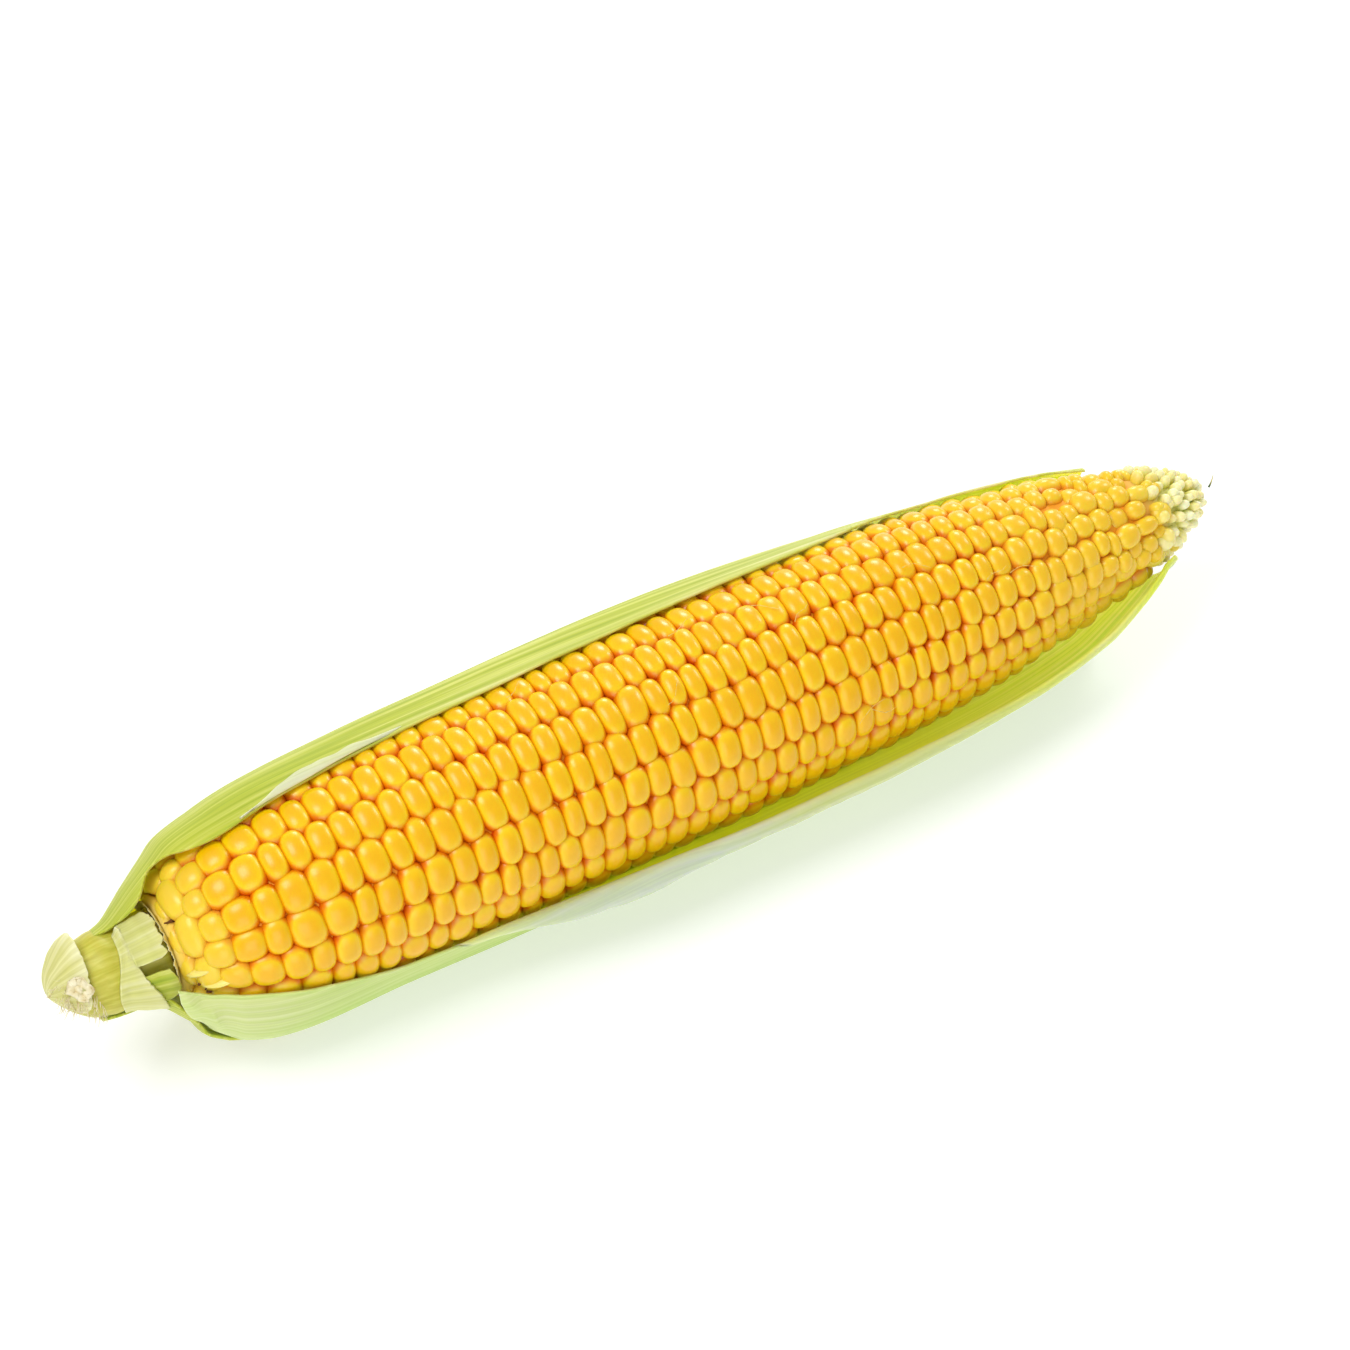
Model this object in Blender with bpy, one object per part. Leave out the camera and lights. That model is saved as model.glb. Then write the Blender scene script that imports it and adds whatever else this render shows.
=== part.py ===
"""An ear of sweetcorn, opened at the front, lying on the husk leaves that still hold it.

Metres, +Z up. The ear's axis runs along X, from the cut shank to the tip at +X. The front of
the ear, where the husk is open, faces -Y. The whole stands on z = 0, and its bounding box is
centred on the origin in X and Y.

Leaves and stubs are placed by an angle about the ear's axis: 0 degrees is straight down, 90
is the front (-Y), -90 is the back (+Y), and 180 is straight up.
"""

import math

import bmesh
import bpy
from mathutils import Matrix, Vector

# ---------------------------------------------------------------- driving dimensions
EAR_LENGTH = 0.220
EAR_RADIUS = 0.0220  # over the kernels, at the thickest place
WIDEST_AT = 0.40  # share of the length from the base
BASE_FULLNESS = 7.0  # higher is a blunter base
TIP_FULLNESS = 2.35  # higher is a blunter tip
CUT_OFF = 0.003  # a rounded base of that height is cut off, which leaves a flat one

ROWS = 18
ROWS_TURN = 8.4  # degrees about +X, from a row that faces the back
ROW_TWIST = [(0, -2.2), (0.05, 0.0), (0.10, 0.6), (0.15, 4.0), (0.18, 6.3), (0.22, 7.5)]  # metres
KERNEL_PITCH = 0.0044  # along a row, in the middle of the ear
BASE_PITCH_GAIN = 0.35  # the first kernels are this much longer
TIP_PITCH_LOSS = 0.42  # and the last ones this much shorter
GAP_DEPTH = 0.0009  # between two kernels of a row
GROOVE_DEPTH = 0.0013  # between two rows

LEAF_THICKNESS = 0.0007
CLEARANCE = 0.0003  # left between any two pieces
NESTING = 0.0006  # left between a leaf and what it wraps, as its faces are flat
LAYER = LEAF_THICKNESS + CLEARANCE
AXIS_HEIGHT = EAR_RADIUS + 2 * LAYER + 0.0002  # two leaves lie under the ear

SHANK_RADIUS = 0.0072
SHANK_LENGTH = 0.0220
SHANK_NODE_AT = -0.0115  # the swollen ring that the husk grows from
SHANK_NODE_SWELL = 0.0006
CUT_ROUNDING = 0.0070  # the cut end is rounded over this length
CUT_SLANT = 0.0024  # and comes that much further along on its lower front side

SILK_RADIUS = 0.0003
SILK_LENGTH = 0.0026

MATERIALS = {  # sRGB colour, roughness
    "kernel_yellow": ((1.00, 0.76, 0.12), 0.35),
    "husk_green": ((0.66, 0.79, 0.40), 0.60),
    "husk_pale": ((0.85, 0.90, 0.68), 0.65),
    "shank_green": ((0.78, 0.80, 0.42), 0.50),
    "dry_sheath": ((0.88, 0.86, 0.66), 0.75),
    "silk_straw": ((0.62, 0.66, 0.34), 0.55),
}


# ---------------------------------------------------------------- small helpers
def smooth_step(value, low, high):
    share = min(1.0, max(0.0, (value - low) / (high - low)))
    return share * share * (3 - 2 * share)


def between(stations, share):
    """A smooth curve through a few (share, value) stations."""
    last = len(stations) - 1
    i = next((i for i in range(last) if share <= stations[i + 1][0]), last - 1)

    def slope(k):
        (low, first), (high, second) = stations[max(k - 1, 0)], stations[min(k + 1, last)]
        return (second - first) / (high - low)

    (low, first), (high, second) = stations[i], stations[i + 1]
    run = high - low
    t = min(1.0, max(0.0, (share - low) / run))
    bend = t * (1 - t) * (slope(i) * run * (1 - t) - slope(i + 1) * run * t)
    return first + (second - first) * t * t * (3 - 2 * t) + bend


def linear(channel):
    return channel / 12.92 if channel <= 0.04045 else ((channel + 0.055) / 1.055) ** 2.4


def material(name):
    if name in bpy.data.materials:
        return bpy.data.materials[name]
    colour, roughness = MATERIALS[name]
    made = bpy.data.materials.new(name)
    made.use_nodes = True
    shader = made.node_tree.nodes["Principled BSDF"]
    shader.inputs["Base Color"].default_value = (*map(linear, colour), 1.0)
    shader.inputs["Roughness"].default_value = roughness
    return made


def finish(name, shape, material_name, parent):
    """Turns a bmesh into the named object of one piece, under the ear's empty."""
    mesh = bpy.data.meshes.new(name)
    shape.to_mesh(mesh)
    shape.free()
    mesh.shade_smooth()
    mesh.set_sharp_from_angle(angle=math.radians(50))
    made = bpy.data.objects.new(name, mesh)
    made.data.materials.append(material(material_name))
    made.parent = parent
    bpy.context.scene.collection.objects.link(made)
    return made


def turned_body(profile, steps):
    """A closed body turned about the X axis from (x, radius) points. Each vertex keeps its
    point's number in the layer "ring"."""
    shape = bmesh.new()
    ring_layer = shape.verts.layers.int.new("ring")
    line = []
    for i, (x, radius) in enumerate(profile):
        line.append(shape.verts.new((x, radius, 0)))
        line[-1][ring_layer] = i
    edges = [shape.edges.new(pair) for pair in zip(line, line[1:])]
    bmesh.ops.spin(
        shape, geom=line + edges, cent=(0, 0, 0), axis=(1, 0, 0), angle=math.tau, steps=steps,
        use_merge=True,
    )  # fmt: skip
    bmesh.ops.remove_doubles(shape, verts=shape.verts, dist=1e-6)
    bmesh.ops.recalc_face_normals(shape, faces=shape.faces)
    return shape, ring_layer


# ---------------------------------------------------------------- the ear
def swell(share, widest, base_fullness, tip_fullness):
    """Radius of a body rounded at both ends, as a share of its widest, along its length."""
    if not 0 < share < 1:
        return 0.0
    if share < widest:
        return math.sqrt(1 - ((widest - share) / widest) ** base_fullness)
    return math.sqrt(1 - ((share - widest) / (1 - widest)) ** tip_fullness)


def ear_radius(x):
    if not 0 <= x < EAR_LENGTH:
        return 0.0
    share = (x + CUT_OFF) / (EAR_LENGTH + CUT_OFF)
    return EAR_RADIUS * swell(share, WIDEST_AT, BASE_FULLNESS, TIP_FULLNESS)


def ear_outline(points=600):
    """(x, radius, distance along the surface) from the edge of the flat base to the tip."""
    outline, along = [], 0.0
    for i in range(points + 1):
        x = EAR_LENGTH * (1 - math.cos(math.pi * i / points)) / 2
        radius = ear_radius(x)
        if outline:
            along += math.dist((x, radius), outline[-1][:2])
        outline.append((x, radius, along))
    return outline


def kernel_pitch(share):
    """Length of a kernel along its row, at a share of the way from base to tip."""
    base_gain = BASE_PITCH_GAIN * (1 - smooth_step(share, 0.06, 0.20))
    return KERNEL_PITCH * (1 + base_gain - TIP_PITCH_LOSS * share**4)


def kernel_rings(outline):
    """(x, radius, slope of the outline) at each kernel's middle and each gap between two."""
    whole = outline[-1][2]
    along, rings = kernel_pitch(0) * 0.5, []
    while along < whole - kernel_pitch(1) * 0.75:
        i = next(i for i, point in enumerate(outline) if point[2] >= along)
        (x0, r0, _), (x1, r1, _) = outline[i - 1], outline[i]
        rings.append((x1, r1, math.atan2(r1 - r0, x1 - x0)))
        along += kernel_pitch(along / whole) / 2
    return rings


def relief(ring, column):
    """Depth below the crowns: none on a kernel, some beside it, most between two rows."""
    if column % 2:
        return GROOVE_DEPTH
    row = column // 2
    return 0.0 if ring % 2 == row % 2 else GAP_DEPTH


def kernelled_cob(parent):
    """The cob with its kernels: a turned body, with each kernel raised from it."""
    rings = kernel_rings(ear_outline())
    columns = 2 * ROWS
    profile = [(0, 0), (0, ear_radius(0)), *(ring[:2] for ring in rings), (EAR_LENGTH, 0)]
    shape, ring_layer = turned_body(profile, columns)
    for vertex in shape.verts:
        ring = vertex[ring_layer]
        if not 0 < ring <= len(rings) + 1:
            continue
        angle = math.atan2(vertex.co.z, vertex.co.y)
        column = round(angle / math.tau * columns) % columns
        angle += math.radians(between(ROW_TWIST, vertex.co.x))
        if ring == 1:
            radius = ear_radius(0)
            vertex.co = (0, radius * math.cos(angle), radius * math.sin(angle))
            continue
        x, radius, slope = rings[ring - 2]
        depth = relief(ring, column) * min(1.0, radius / (0.5 * EAR_RADIUS))
        radius -= depth * math.cos(slope)
        x += depth * math.sin(slope)
        vertex.co = (x, radius * math.cos(angle), radius * math.sin(angle))
    turn = Matrix.Rotation(math.radians(ROWS_TURN), 3, "X")
    bmesh.ops.rotate(shape, verts=shape.verts, cent=(0, 0, 0), matrix=turn)
    bmesh.ops.translate(shape, verts=shape.verts, vec=(0, 0, AXIS_HEIGHT))
    return finish("kernelled_cob", shape, "kernel_yellow", parent)


# ---------------------------------------------------------------- the shank
def slanted(x, degrees, radius):
    """The cut is not square to the shank. The place is given by its angle about the ear's
    axis in degrees and its distance from that axis."""
    end = -SHANK_LENGTH
    share = min(1.0, radius / SHANK_RADIUS) * max(0.0, math.cos(math.radians(degrees - 54)))
    return x + CUT_SLANT * share * (1 - smooth_step(x, end, end + 0.009))


def rounded_cut(x, radius, grown=0.0):
    """Radius of the rounded cut end at x, or of a skin that lies that far outside it."""
    middle = -SHANK_LENGTH + CUT_ROUNDING
    share = min(1.0, max(0.0, (middle - x) / (CUT_ROUNDING + grown)))
    return (radius + grown) * math.sqrt(1 - share**2)


def shank(parent):
    """The stalk that the ear was snapped off by, with the ring that the husk grew from."""
    end, start = -SHANK_LENGTH, -CLEARANCE
    profile = [(end + 0.0003, 0)]
    for step in (0.0003, 0.0008, 0.0016, 0.0026, 0.0038, 0.0052, 0.0070):
        profile.append((end + step, rounded_cut(end + step, SHANK_RADIUS)))
    profile += [
        (SHANK_NODE_AT - 0.0025, SHANK_RADIUS),
        (SHANK_NODE_AT - 0.0008, SHANK_RADIUS + SHANK_NODE_SWELL),
        (SHANK_NODE_AT + 0.0008, SHANK_RADIUS + SHANK_NODE_SWELL),
        (SHANK_NODE_AT + 0.0030, SHANK_RADIUS * 0.94),
        (start - 0.0010, SHANK_RADIUS * 0.94),
        (start, SHANK_RADIUS * 0.80),
        (start, 0),
    ]
    shape, _ = turned_body(profile, 24)
    for vertex in shape.verts:
        x, y, z = vertex.co
        vertex.co.x = slanted(x, math.degrees(math.atan2(-y, -z)), math.hypot(y, z))
    bmesh.ops.translate(shape, verts=shape.verts, vec=(0, 0, AXIS_HEIGHT))
    return finish("shank", shape, "shank_green", parent)


# ---------------------------------------------------------------- sheets round the axis
def sheet(name, along, across, place, material_name, parent, thickness=LEAF_THICKNESS):
    """A thin solid: a grid of along x across faces, each corner put at place(u, v) on the
    sheet's outer side, and thickened inwards."""
    shape = bmesh.new()
    bmesh.ops.create_grid(shape, x_segments=along, y_segments=across, size=0.5)
    for vertex in shape.verts:
        vertex.co = place(vertex.co.x + 0.5, vertex.co.y + 0.5)
    made = finish(name, shape, material_name, parent)
    wall = made.modifiers.new("thickness", "SOLIDIFY")
    wall.thickness = thickness
    wall.offset = -1
    wall.use_even_offset = True
    return made


def round_axis(x, degrees, radius, floor=0.0):
    """The point at that angle and radius about the ear's axis, laid flat where it would be
    lower than floor."""
    angle = math.radians(degrees)
    height = AXIS_HEIGHT - radius * math.cos(angle)
    return Vector((x, -radius * math.sin(angle), max(height, floor)))


# ---------------------------------------------------------------- the husk leaves
MM = 0.001


class Husk:
    """One husk leaf: a body of revolution round the ear, cut to a strip between two edges.

    Stations are in millimetres along the axis, from the ear's base. radii: (x, radius).
    edges: (x, lower angle, upper angle). pinch: (x, share) how much closer to the ear its
    upper rim is, from the share pinch_from of its width. inside: the leaves between it and
    the ear. layer: how many leaves lie between it and the surface below.
    """

    def __init__(self, radii, edges, pinch=(), pinch_from=0.5, inside=(), layer=1):
        self.begin, self.end = edges[0][0] * MM, edges[-1][0] * MM
        self.whole_from = self.begin + 0.0032  # it is a narrow strip before that
        self.radii = radii
        self.lower = [(x, low) for x, low, _ in edges]
        self.upper = [(x, high) for x, _, high in edges]
        self.pinch, self.pinch_from, self.inside, self.layer = pinch, pinch_from, inside, layer

    def x_at(self, u):
        """Stations crowd towards both ends, where the leaf turns fastest."""
        return self.begin + (self.end - self.begin) * (1 - math.cos(math.pi * u)) / 2

    def radius_at(self, x, v=0.0):
        """Never closer to the axis than the shank, the ear or a leaf inside it allows."""
        leaf = between(self.radii, min(x / MM, self.radii[-1][0])) * MM
        if self.pinch:
            leaf *= 1 - between(self.pinch, x / MM) * smooth_step(v, self.pinch_from, 1.0)
        ring = SHANK_NODE_SWELL * smooth_step(-abs(x - SHANK_NODE_AT), -0.0045, -0.0020)
        kept_clear = [ear_radius(x), SHANK_RADIUS + ring]
        for husk in self.inside:
            near = (x - LAYER, x, x + LAYER)
            kept_clear += [husk.radius_at(place) for place in near if place > husk.whole_from]
        return max(leaf, max(kept_clear) + NESTING + LEAF_THICKNESS)

    def point(self, u, v):
        x = self.x_at(u)
        low, high = between(self.lower, x / MM), between(self.upper, x / MM)
        degrees = low + (high - low) * v
        return round_axis(x, degrees, self.radius_at(x, v), self.layer * LAYER)


FRONT = Husk(
    radii=[
        (-2.4, 13.8), (-1, 14.4), (1, 15.0), (2.4, 16.2), (3.6, 17.6), (6.2, 20.0), (7.8, 21.3),
        (12.3, 23.1), (17, 24.0), (22, 24.4), (32, 24.7), (42, 24.9), (62, 25.3), (90, 25.4),
        (115, 25.2), (135, 24.8), (150, 24.4), (166, 23.4), (176, 22.0), (186, 19.9),
        (191, 18.1), (201, 13.5), (207, 9.6),
    ],
    edges=[
        (-2.4, 95, 105), (-1.8, 84, 103.5), (-0.8, 74, 101), (0.6, 64, 96), (1.8, 57, 92.5),
        (2.8, 47, 91), (3.6, 20, 91), (4.8, -6, 91), (8, -11, 91), (13, -12, 89.5),
        (20, -12, 85.5), (29, -12, 79.5), (40, -12, 72.5), (60, -12, 71), (72, -12, 72),
        (85, -12, 74.5), (110, -12, 74), (150, -12, 74), (175, -10, 74), (190, 0, 75), (197, 8, 76),
        (203, 24, 77), (207, 68, 78),
    ],
    pinch=[
        (-2.4, 0.0), (-1, 0.03), (1.6, 0.10), (5, 0.17), (10, 0.17), (20, 0.125), (40, 0.11),
        (60, 0.105), (75, 0.08), (90, 0.045), (110, 0.015), (210, 0.0),
    ],
)  # fmt: skip
REAR = Husk(
    radii=[
        (-11, 8.6), (-8, 8.8), (-5, 10.6), (-2.5, 12.4), (3.2, 16.1), (6.1, 18.0), (10.2, 19.3),
        (17, 20.7), (22, 21.5), (30, 22.4), (42, 22.9), (62, 23.5), (92, 23.9), (112, 23.5),
        (131.5, 22.4), (151, 20.5), (171, 18.4), (190, 15.3), (200, 12.8),
    ],
    edges=[
        (-11, -158, -62), (-8, -164, -54), (-4.5, -168, -50), (-1.5, -166, -47), (1.0, -157, -45),
        (2.8, -156, -44), (5, -161, -42), (8, -168, -40), (13, -172, -38), (22, -170, -30),
        (30, -167, -24), (40, -164, -20), (58, -160.5, -16), (78, -157, -15),
        (98, -154, -15), (118, -150.5, -18), (137, -147.5, -24), (148, -145.5, -30),
        (157, -142, -36), (166, -139.5, -44), (185, -135, -62), (200, -119, -100),
    ],
)  # fmt: skip
UNDER = Husk(
    radii=[(-14, 8.9), (-9, 8.9), (-5.5, 9.0), (-2.9, 10.6), (-0.7, 13.2), (1.5, 15.8), (8, 21.8)],
    edges=[
        (-14, -34, 36), (-9, -31, 42), (-6.5, -30, 43), (-3.4, -29, 43), (-2.2, -29, 52),
        (-1, -28, 62), (0.6, -28, 56), (1.8, -27, 50), (4, -27, 44), (8, -27, 30), (14, -26, 28),
        (40, -23, 25),
        (110, -21, 24), (155, -14, 20), (193, 4, 12),
    ],
    inside=(FRONT,), layer=0,
)  # fmt: skip

# The front leaf's upper rim is rolled outwards: (degrees, distance) of the lip from the rim.
LIP = [(1.4, 0.0005), (1.8, 0.0013), (0.6, 0.0020), (-2.5, 0.0023), (-6.5, 0.0021), (-10, 0.0016)]
LIP_REACH = [
    (-3, 0.25), (30, 0.25), (42, 0.30), (53, 0.45), (63, 0.75), (76, 0.95), (86, 1.0), (92, 0.85),
    (102, 0.65), (130, 0.5), (150, 0.4), (165, 0.3), (210, 0.25),
]  # fmt: skip
LEAF_FACES_ALONG = 36
LEAF_FACES_ACROSS = 16


def front_leaf(parent):
    across = LEAF_FACES_ACROSS + len(LIP)

    def place(u, v):
        column = round(v * across)
        if column <= LEAF_FACES_ACROSS:
            return FRONT.point(u, column / LEAF_FACES_ACROSS)
        degrees, out = LIP[column - LEAF_FACES_ACROSS - 1]
        x = FRONT.x_at(u)
        reach = between(LIP_REACH, x / MM)
        rim = between(FRONT.upper, x / MM)
        return round_axis(x, rim + degrees * reach, FRONT.radius_at(x, 1.0) + out * reach)

    return sheet("husk_leaf_front", LEAF_FACES_ALONG, across, place, "husk_pale", parent)


def plain_leaf(name, husk, parent):
    size = LEAF_FACES_ALONG, LEAF_FACES_ACROSS
    return sheet(name, *size, husk.point, "husk_green", parent)


# ---------------------------------------------------------------- torn leaf bases
STUB_THICKNESS = 0.0006


def torn_stub(name, edge, angles, root, radius, parent, material_name="husk_pale"):
    """What is left of a husk leaf that was torn off: a short plate that wraps the shank and
    flares away from it, with a ragged end.

    edge: (share of the width, reach, flare) stations, how far the torn end is from the root,
    and how much further from the axis. angles: its two sides. radius: at the root.
    """
    reach = [(share, far) for share, far, _ in edge]
    flare = [(share, out) for share, _, out in edge]

    def place(u, v):
        x = root + between(reach, v) * u
        out = between(flare, v) * smooth_step(u, 0.0, 1.2)
        return round_axis(x, angles[0] + (angles[1] - angles[0]) * v, radius + out)

    return sheet(name, 6, 14, place, material_name, parent, STUB_THICKNESS)


def front_stub(parent):
    """The broadest of them: narrow at the top, wide and standing off at the bottom."""
    edge = [
        (0.0, 0.0062, 0.0018), (0.1, 0.0068, 0.0024), (0.25, 0.0064, 0.0028), (0.45, 0.0050, 0.0020),
        (0.7, 0.0036, 0.0008), (0.85, 0.0036, 0.0010), (1.0, 0.0030, 0.0014),
    ]  # fmt: skip
    return torn_stub("husk_stub_front", edge, (50, 182), -0.0104, 0.0088, parent)


def upper_stub(parent):
    edge = [
        (0.0, 0.0040, 0.0004), (0.1, 0.0056, 0.0006), (0.25, 0.0050, 0.0004), (0.5, 0.0056, 0.0006),
        (0.8, 0.0058, 0.0005), (1.0, 0.0050, 0.0002),
    ]  # fmt: skip
    return torn_stub("husk_stub_upper", edge, (134, 181), -0.0070, 0.0106, parent)


def lower_stub(parent):
    edge = [(0.0, 0.0040, 0.0006), (0.3, 0.0056, 0.0008), (0.7, 0.0056, 0.0008), (1.0, 0.0048, 0.0004)]
    return torn_stub("husk_stub_lower", edge, (84, 120), -0.0062, 0.0092, parent, "husk_green")


CUFF_ANGLES = (92, 245)
CUFF_MOUTH = [
    (92, -18.5), (112, -16.8), (135, -15.8), (150, -15.2), (170, -14.9), (190, -14.9),
    (215, -15.4), (245, -17.5),
]  # fmt: skip
CUFF_FLARE = [(92, 0.1), (140, 0.5), (170, 1.2), (190, 2.3), (205, 2.3), (225, 1.2), (245, 0.3)]


def sheath_cuff(parent):
    """The dry leaf sheath that still wraps the cut end. It opens a little towards the ear."""
    first, last = CUFF_ANGLES
    begin = -SHANK_LENGTH - 0.0004

    def place(u, v):
        degrees = first + (last - first) * v
        x = begin + (between(CUFF_MOUTH, degrees) * MM - begin) * u**1.25
        out = between(CUFF_FLARE, degrees) * MM * smooth_step(u, 0.35, 1.15)
        radius = rounded_cut(x, SHANK_RADIUS, CLEARANCE + STUB_THICKNESS + 0.0002)
        return round_axis(slanted(x, degrees, radius), degrees, radius + out)

    return sheet("dry_sheath_cuff", 10, 18, place, "dry_sheath", parent, STUB_THICKNESS)


# ---------------------------------------------------------------- the silk
def silk_thread(parent):
    """One dry silk that still stands at the tip: a thin turned rod, bent."""
    rings = 8
    profile = [(0, 0)]
    profile += [(SILK_LENGTH * i / rings, SILK_RADIUS) for i in range(rings + 1)]
    profile += [(SILK_LENGTH, 0)]
    shape, _ = turned_body(profile, 8)
    start = EAR_LENGTH + CLEARANCE
    for vertex in shape.verts:
        rise = 0.9 * vertex.co.x**2 / SILK_LENGTH
        vertex.co += Vector((start, -0.3 * rise, AXIS_HEIGHT + rise))
    return finish("silk_thread", shape, "silk_straw", parent)


# ---------------------------------------------------------------- assembly
def stand_centred(parent, pieces):
    """Moves the whole so that it stands on z = 0 and its box is centred on the origin."""
    bpy.context.view_layer.update()
    graph = bpy.context.evaluated_depsgraph_get()
    corners = []
    for piece in pieces:
        solid = piece.evaluated_get(graph)
        corners += [solid.matrix_world @ Vector(corner) for corner in solid.bound_box]
    low = [min(corner[k] for corner in corners) for k in range(3)]
    high = [max(corner[k] for corner in corners) for k in range(3)]
    parent.location = (-(low[0] + high[0]) / 2, -(low[1] + high[1]) / 2, -low[2])
    bpy.context.view_layer.update()


def main():
    for old in list(bpy.data.objects):
        bpy.data.objects.remove(old)
    whole = bpy.data.objects.new("corn_ear", None)
    bpy.context.scene.collection.objects.link(whole)
    pieces = [
        kernelled_cob(whole),
        shank(whole),
        front_leaf(whole),
        plain_leaf("husk_leaf_rear", REAR, whole),
        plain_leaf("husk_leaf_under", UNDER, whole),
        front_stub(whole),
        upper_stub(whole),
        lower_stub(whole),
        sheath_cuff(whole),
        silk_thread(whole),
    ]
    stand_centred(whole, pieces)


main()
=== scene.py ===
# %% [markdown]
# # An ear of sweetcorn in its opened husk
#
# The object is one ear of sweetcorn, lying on its side. The husk is open at the front, so
# the kernels show between two leaves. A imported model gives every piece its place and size,
# in metres. This file loads it, and builds the finished surfaces around it.

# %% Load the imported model
import math

import bmesh
import bpy
import numpy as np
from mathutils import Matrix, Vector, noise


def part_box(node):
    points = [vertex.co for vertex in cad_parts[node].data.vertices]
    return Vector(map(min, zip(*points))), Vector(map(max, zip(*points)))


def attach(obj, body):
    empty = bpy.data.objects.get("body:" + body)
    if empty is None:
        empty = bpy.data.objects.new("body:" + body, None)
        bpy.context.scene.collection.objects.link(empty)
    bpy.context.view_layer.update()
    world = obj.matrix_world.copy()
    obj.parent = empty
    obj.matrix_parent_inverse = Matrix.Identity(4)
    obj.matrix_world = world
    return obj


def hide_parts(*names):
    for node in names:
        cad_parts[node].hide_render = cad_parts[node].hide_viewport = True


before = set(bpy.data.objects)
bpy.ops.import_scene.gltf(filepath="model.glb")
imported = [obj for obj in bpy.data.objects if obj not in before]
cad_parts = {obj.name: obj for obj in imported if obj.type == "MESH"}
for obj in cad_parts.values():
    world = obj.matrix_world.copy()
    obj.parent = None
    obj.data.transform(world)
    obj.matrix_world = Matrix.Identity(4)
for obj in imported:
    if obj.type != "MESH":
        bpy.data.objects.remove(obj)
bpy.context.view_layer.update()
print("pieces in the packed model:", sorted(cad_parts))

# %% [markdown]
# ## Where the ear lies
#
# Everything on an ear is arranged round its axis. So a point is easiest to give as a place
# along the axis, an angle about it and a distance from it, and one function turns those
# into X, Y and Z. 0 degrees is straight down, 90 is the front and -90 the back.

# %% Measure the ear and define places round it
MM = 0.001
cob_low, cob_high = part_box("kernelled_cob")
EAR_LENGTH = cob_high.x - cob_low.x
EAR_RADIUS = (cob_high.z - cob_low.z) / 2
AXIS = (cob_low + cob_high) / 2
BASE_X = cob_low.x


def round_axis(x, degrees, radius, floor=0.0):
    """The point at that angle and radius, laid flat where it would be lower than floor."""
    angle = math.radians(degrees)
    height = AXIS.z - radius * math.cos(angle)
    return Vector((BASE_X + x, AXIS.y - radius * math.sin(angle), max(height, floor)))


print(f"ear {EAR_LENGTH / MM:.0f} mm long, {2 * EAR_RADIUS / MM:.1f} mm thick")

# %% [markdown]
# ## The camera
#
# A long lens far away keeps the ear's two ends nearly the same size, as in a studio picture
# of food. It looks down at about 50 degrees from beyond the shank, so the tip points away.

# %% Place the camera
CAMERA_DISTANCE = 0.90
CAMERA_YAW = 29.62
CAMERA_HEIGHT = 50.0  # degrees above the floor
LENS = 130.4
AIM = Vector((0.0094, 0.0106, 0.0242))


def look_at(thing, target, distance, yaw, elevation):
    """Puts a camera or a light on a sphere round the target, looking at it."""
    yaw, elevation = math.radians(yaw), math.radians(elevation)
    towards = Vector((
        -math.sin(yaw) * math.cos(elevation),
        -math.cos(yaw) * math.cos(elevation),
        math.sin(elevation),
    ))  # fmt: skip
    thing.location = target + towards * distance
    thing.rotation_euler = towards.to_track_quat("Z", "Y").to_euler()
    bpy.context.scene.collection.objects.link(thing)


camera = bpy.data.objects.new("camera", bpy.data.cameras.new("camera"))
camera.data.lens = LENS
camera.data.sensor_width = 36.0
camera.data.clip_start = 0.01
look_at(camera, AIM, CAMERA_DISTANCE, CAMERA_YAW, CAMERA_HEIGHT)
bpy.context.scene.camera = camera
print("camera at", [round(value, 3) for value in camera.location])

# %% [markdown]
# ## Light
#
# A plain studio: white light from all round, a soft box overhead on the left that puts one
# broad highlight on each kernel, a large dim one low in front, one behind and one beyond
# the tip that edge the kernels. Area lamps are used because the highlight on a waxy skin
# takes the lamp's own shape and size, and a spot's would be a point.

# %% Light the studio
LAMP_DISTANCE = 0.9
scene = bpy.context.scene
scene.view_settings.view_transform = "Standard"
scene.world = bpy.data.worlds.new("studio")
scene.world.use_nodes = True
background = scene.world.node_tree.nodes["Background"]
background.inputs["Color"].default_value = (1.0, 1.0, 1.0, 1.0)
background.inputs["Strength"].default_value = 0.44


def soft_box(name, size, power, yaw, elevation):
    """A square lamp of that many metres and watts, looking at the ear."""
    lamp = bpy.data.lights.new(name, "AREA")
    lamp.shape = "RECTANGLE"
    lamp.size = lamp.size_y = size
    lamp.energy = power
    look_at(bpy.data.objects.new(name, lamp), AXIS, LAMP_DISTANCE, yaw, elevation)


soft_box("key_box", 0.46, 4.6, 96.0, 62.0)
soft_box("fill_box", 0.60, 2.2, 25.0, 18.0)
soft_box("edge_box", 0.24, 2.8, -150.0, 24.0)
soft_box("tip_box", 0.24, 2.0, -108.0, 32.0)
print("lamps:", [lamp.name for lamp in bpy.data.lights])

# %% [markdown]
# ## Small tools
#
# Colours are written as the hex values that a paint program shows, and turned to the
# linear numbers that Blender works in. Each material is a small tree of nodes, so one
# function adds a node with its settings and its links.


# %% Define colours and nodes
def colour(hex_code):
    """An sRGB hex colour as linear RGBA."""
    values = [int(hex_code[i : i + 2], 16) / 255 for i in (1, 3, 5)]
    linear = [v / 12.92 if v <= 0.04045 else ((v + 0.055) / 1.055) ** 2.4 for v in values]
    return (*linear, 1.0)


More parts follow.
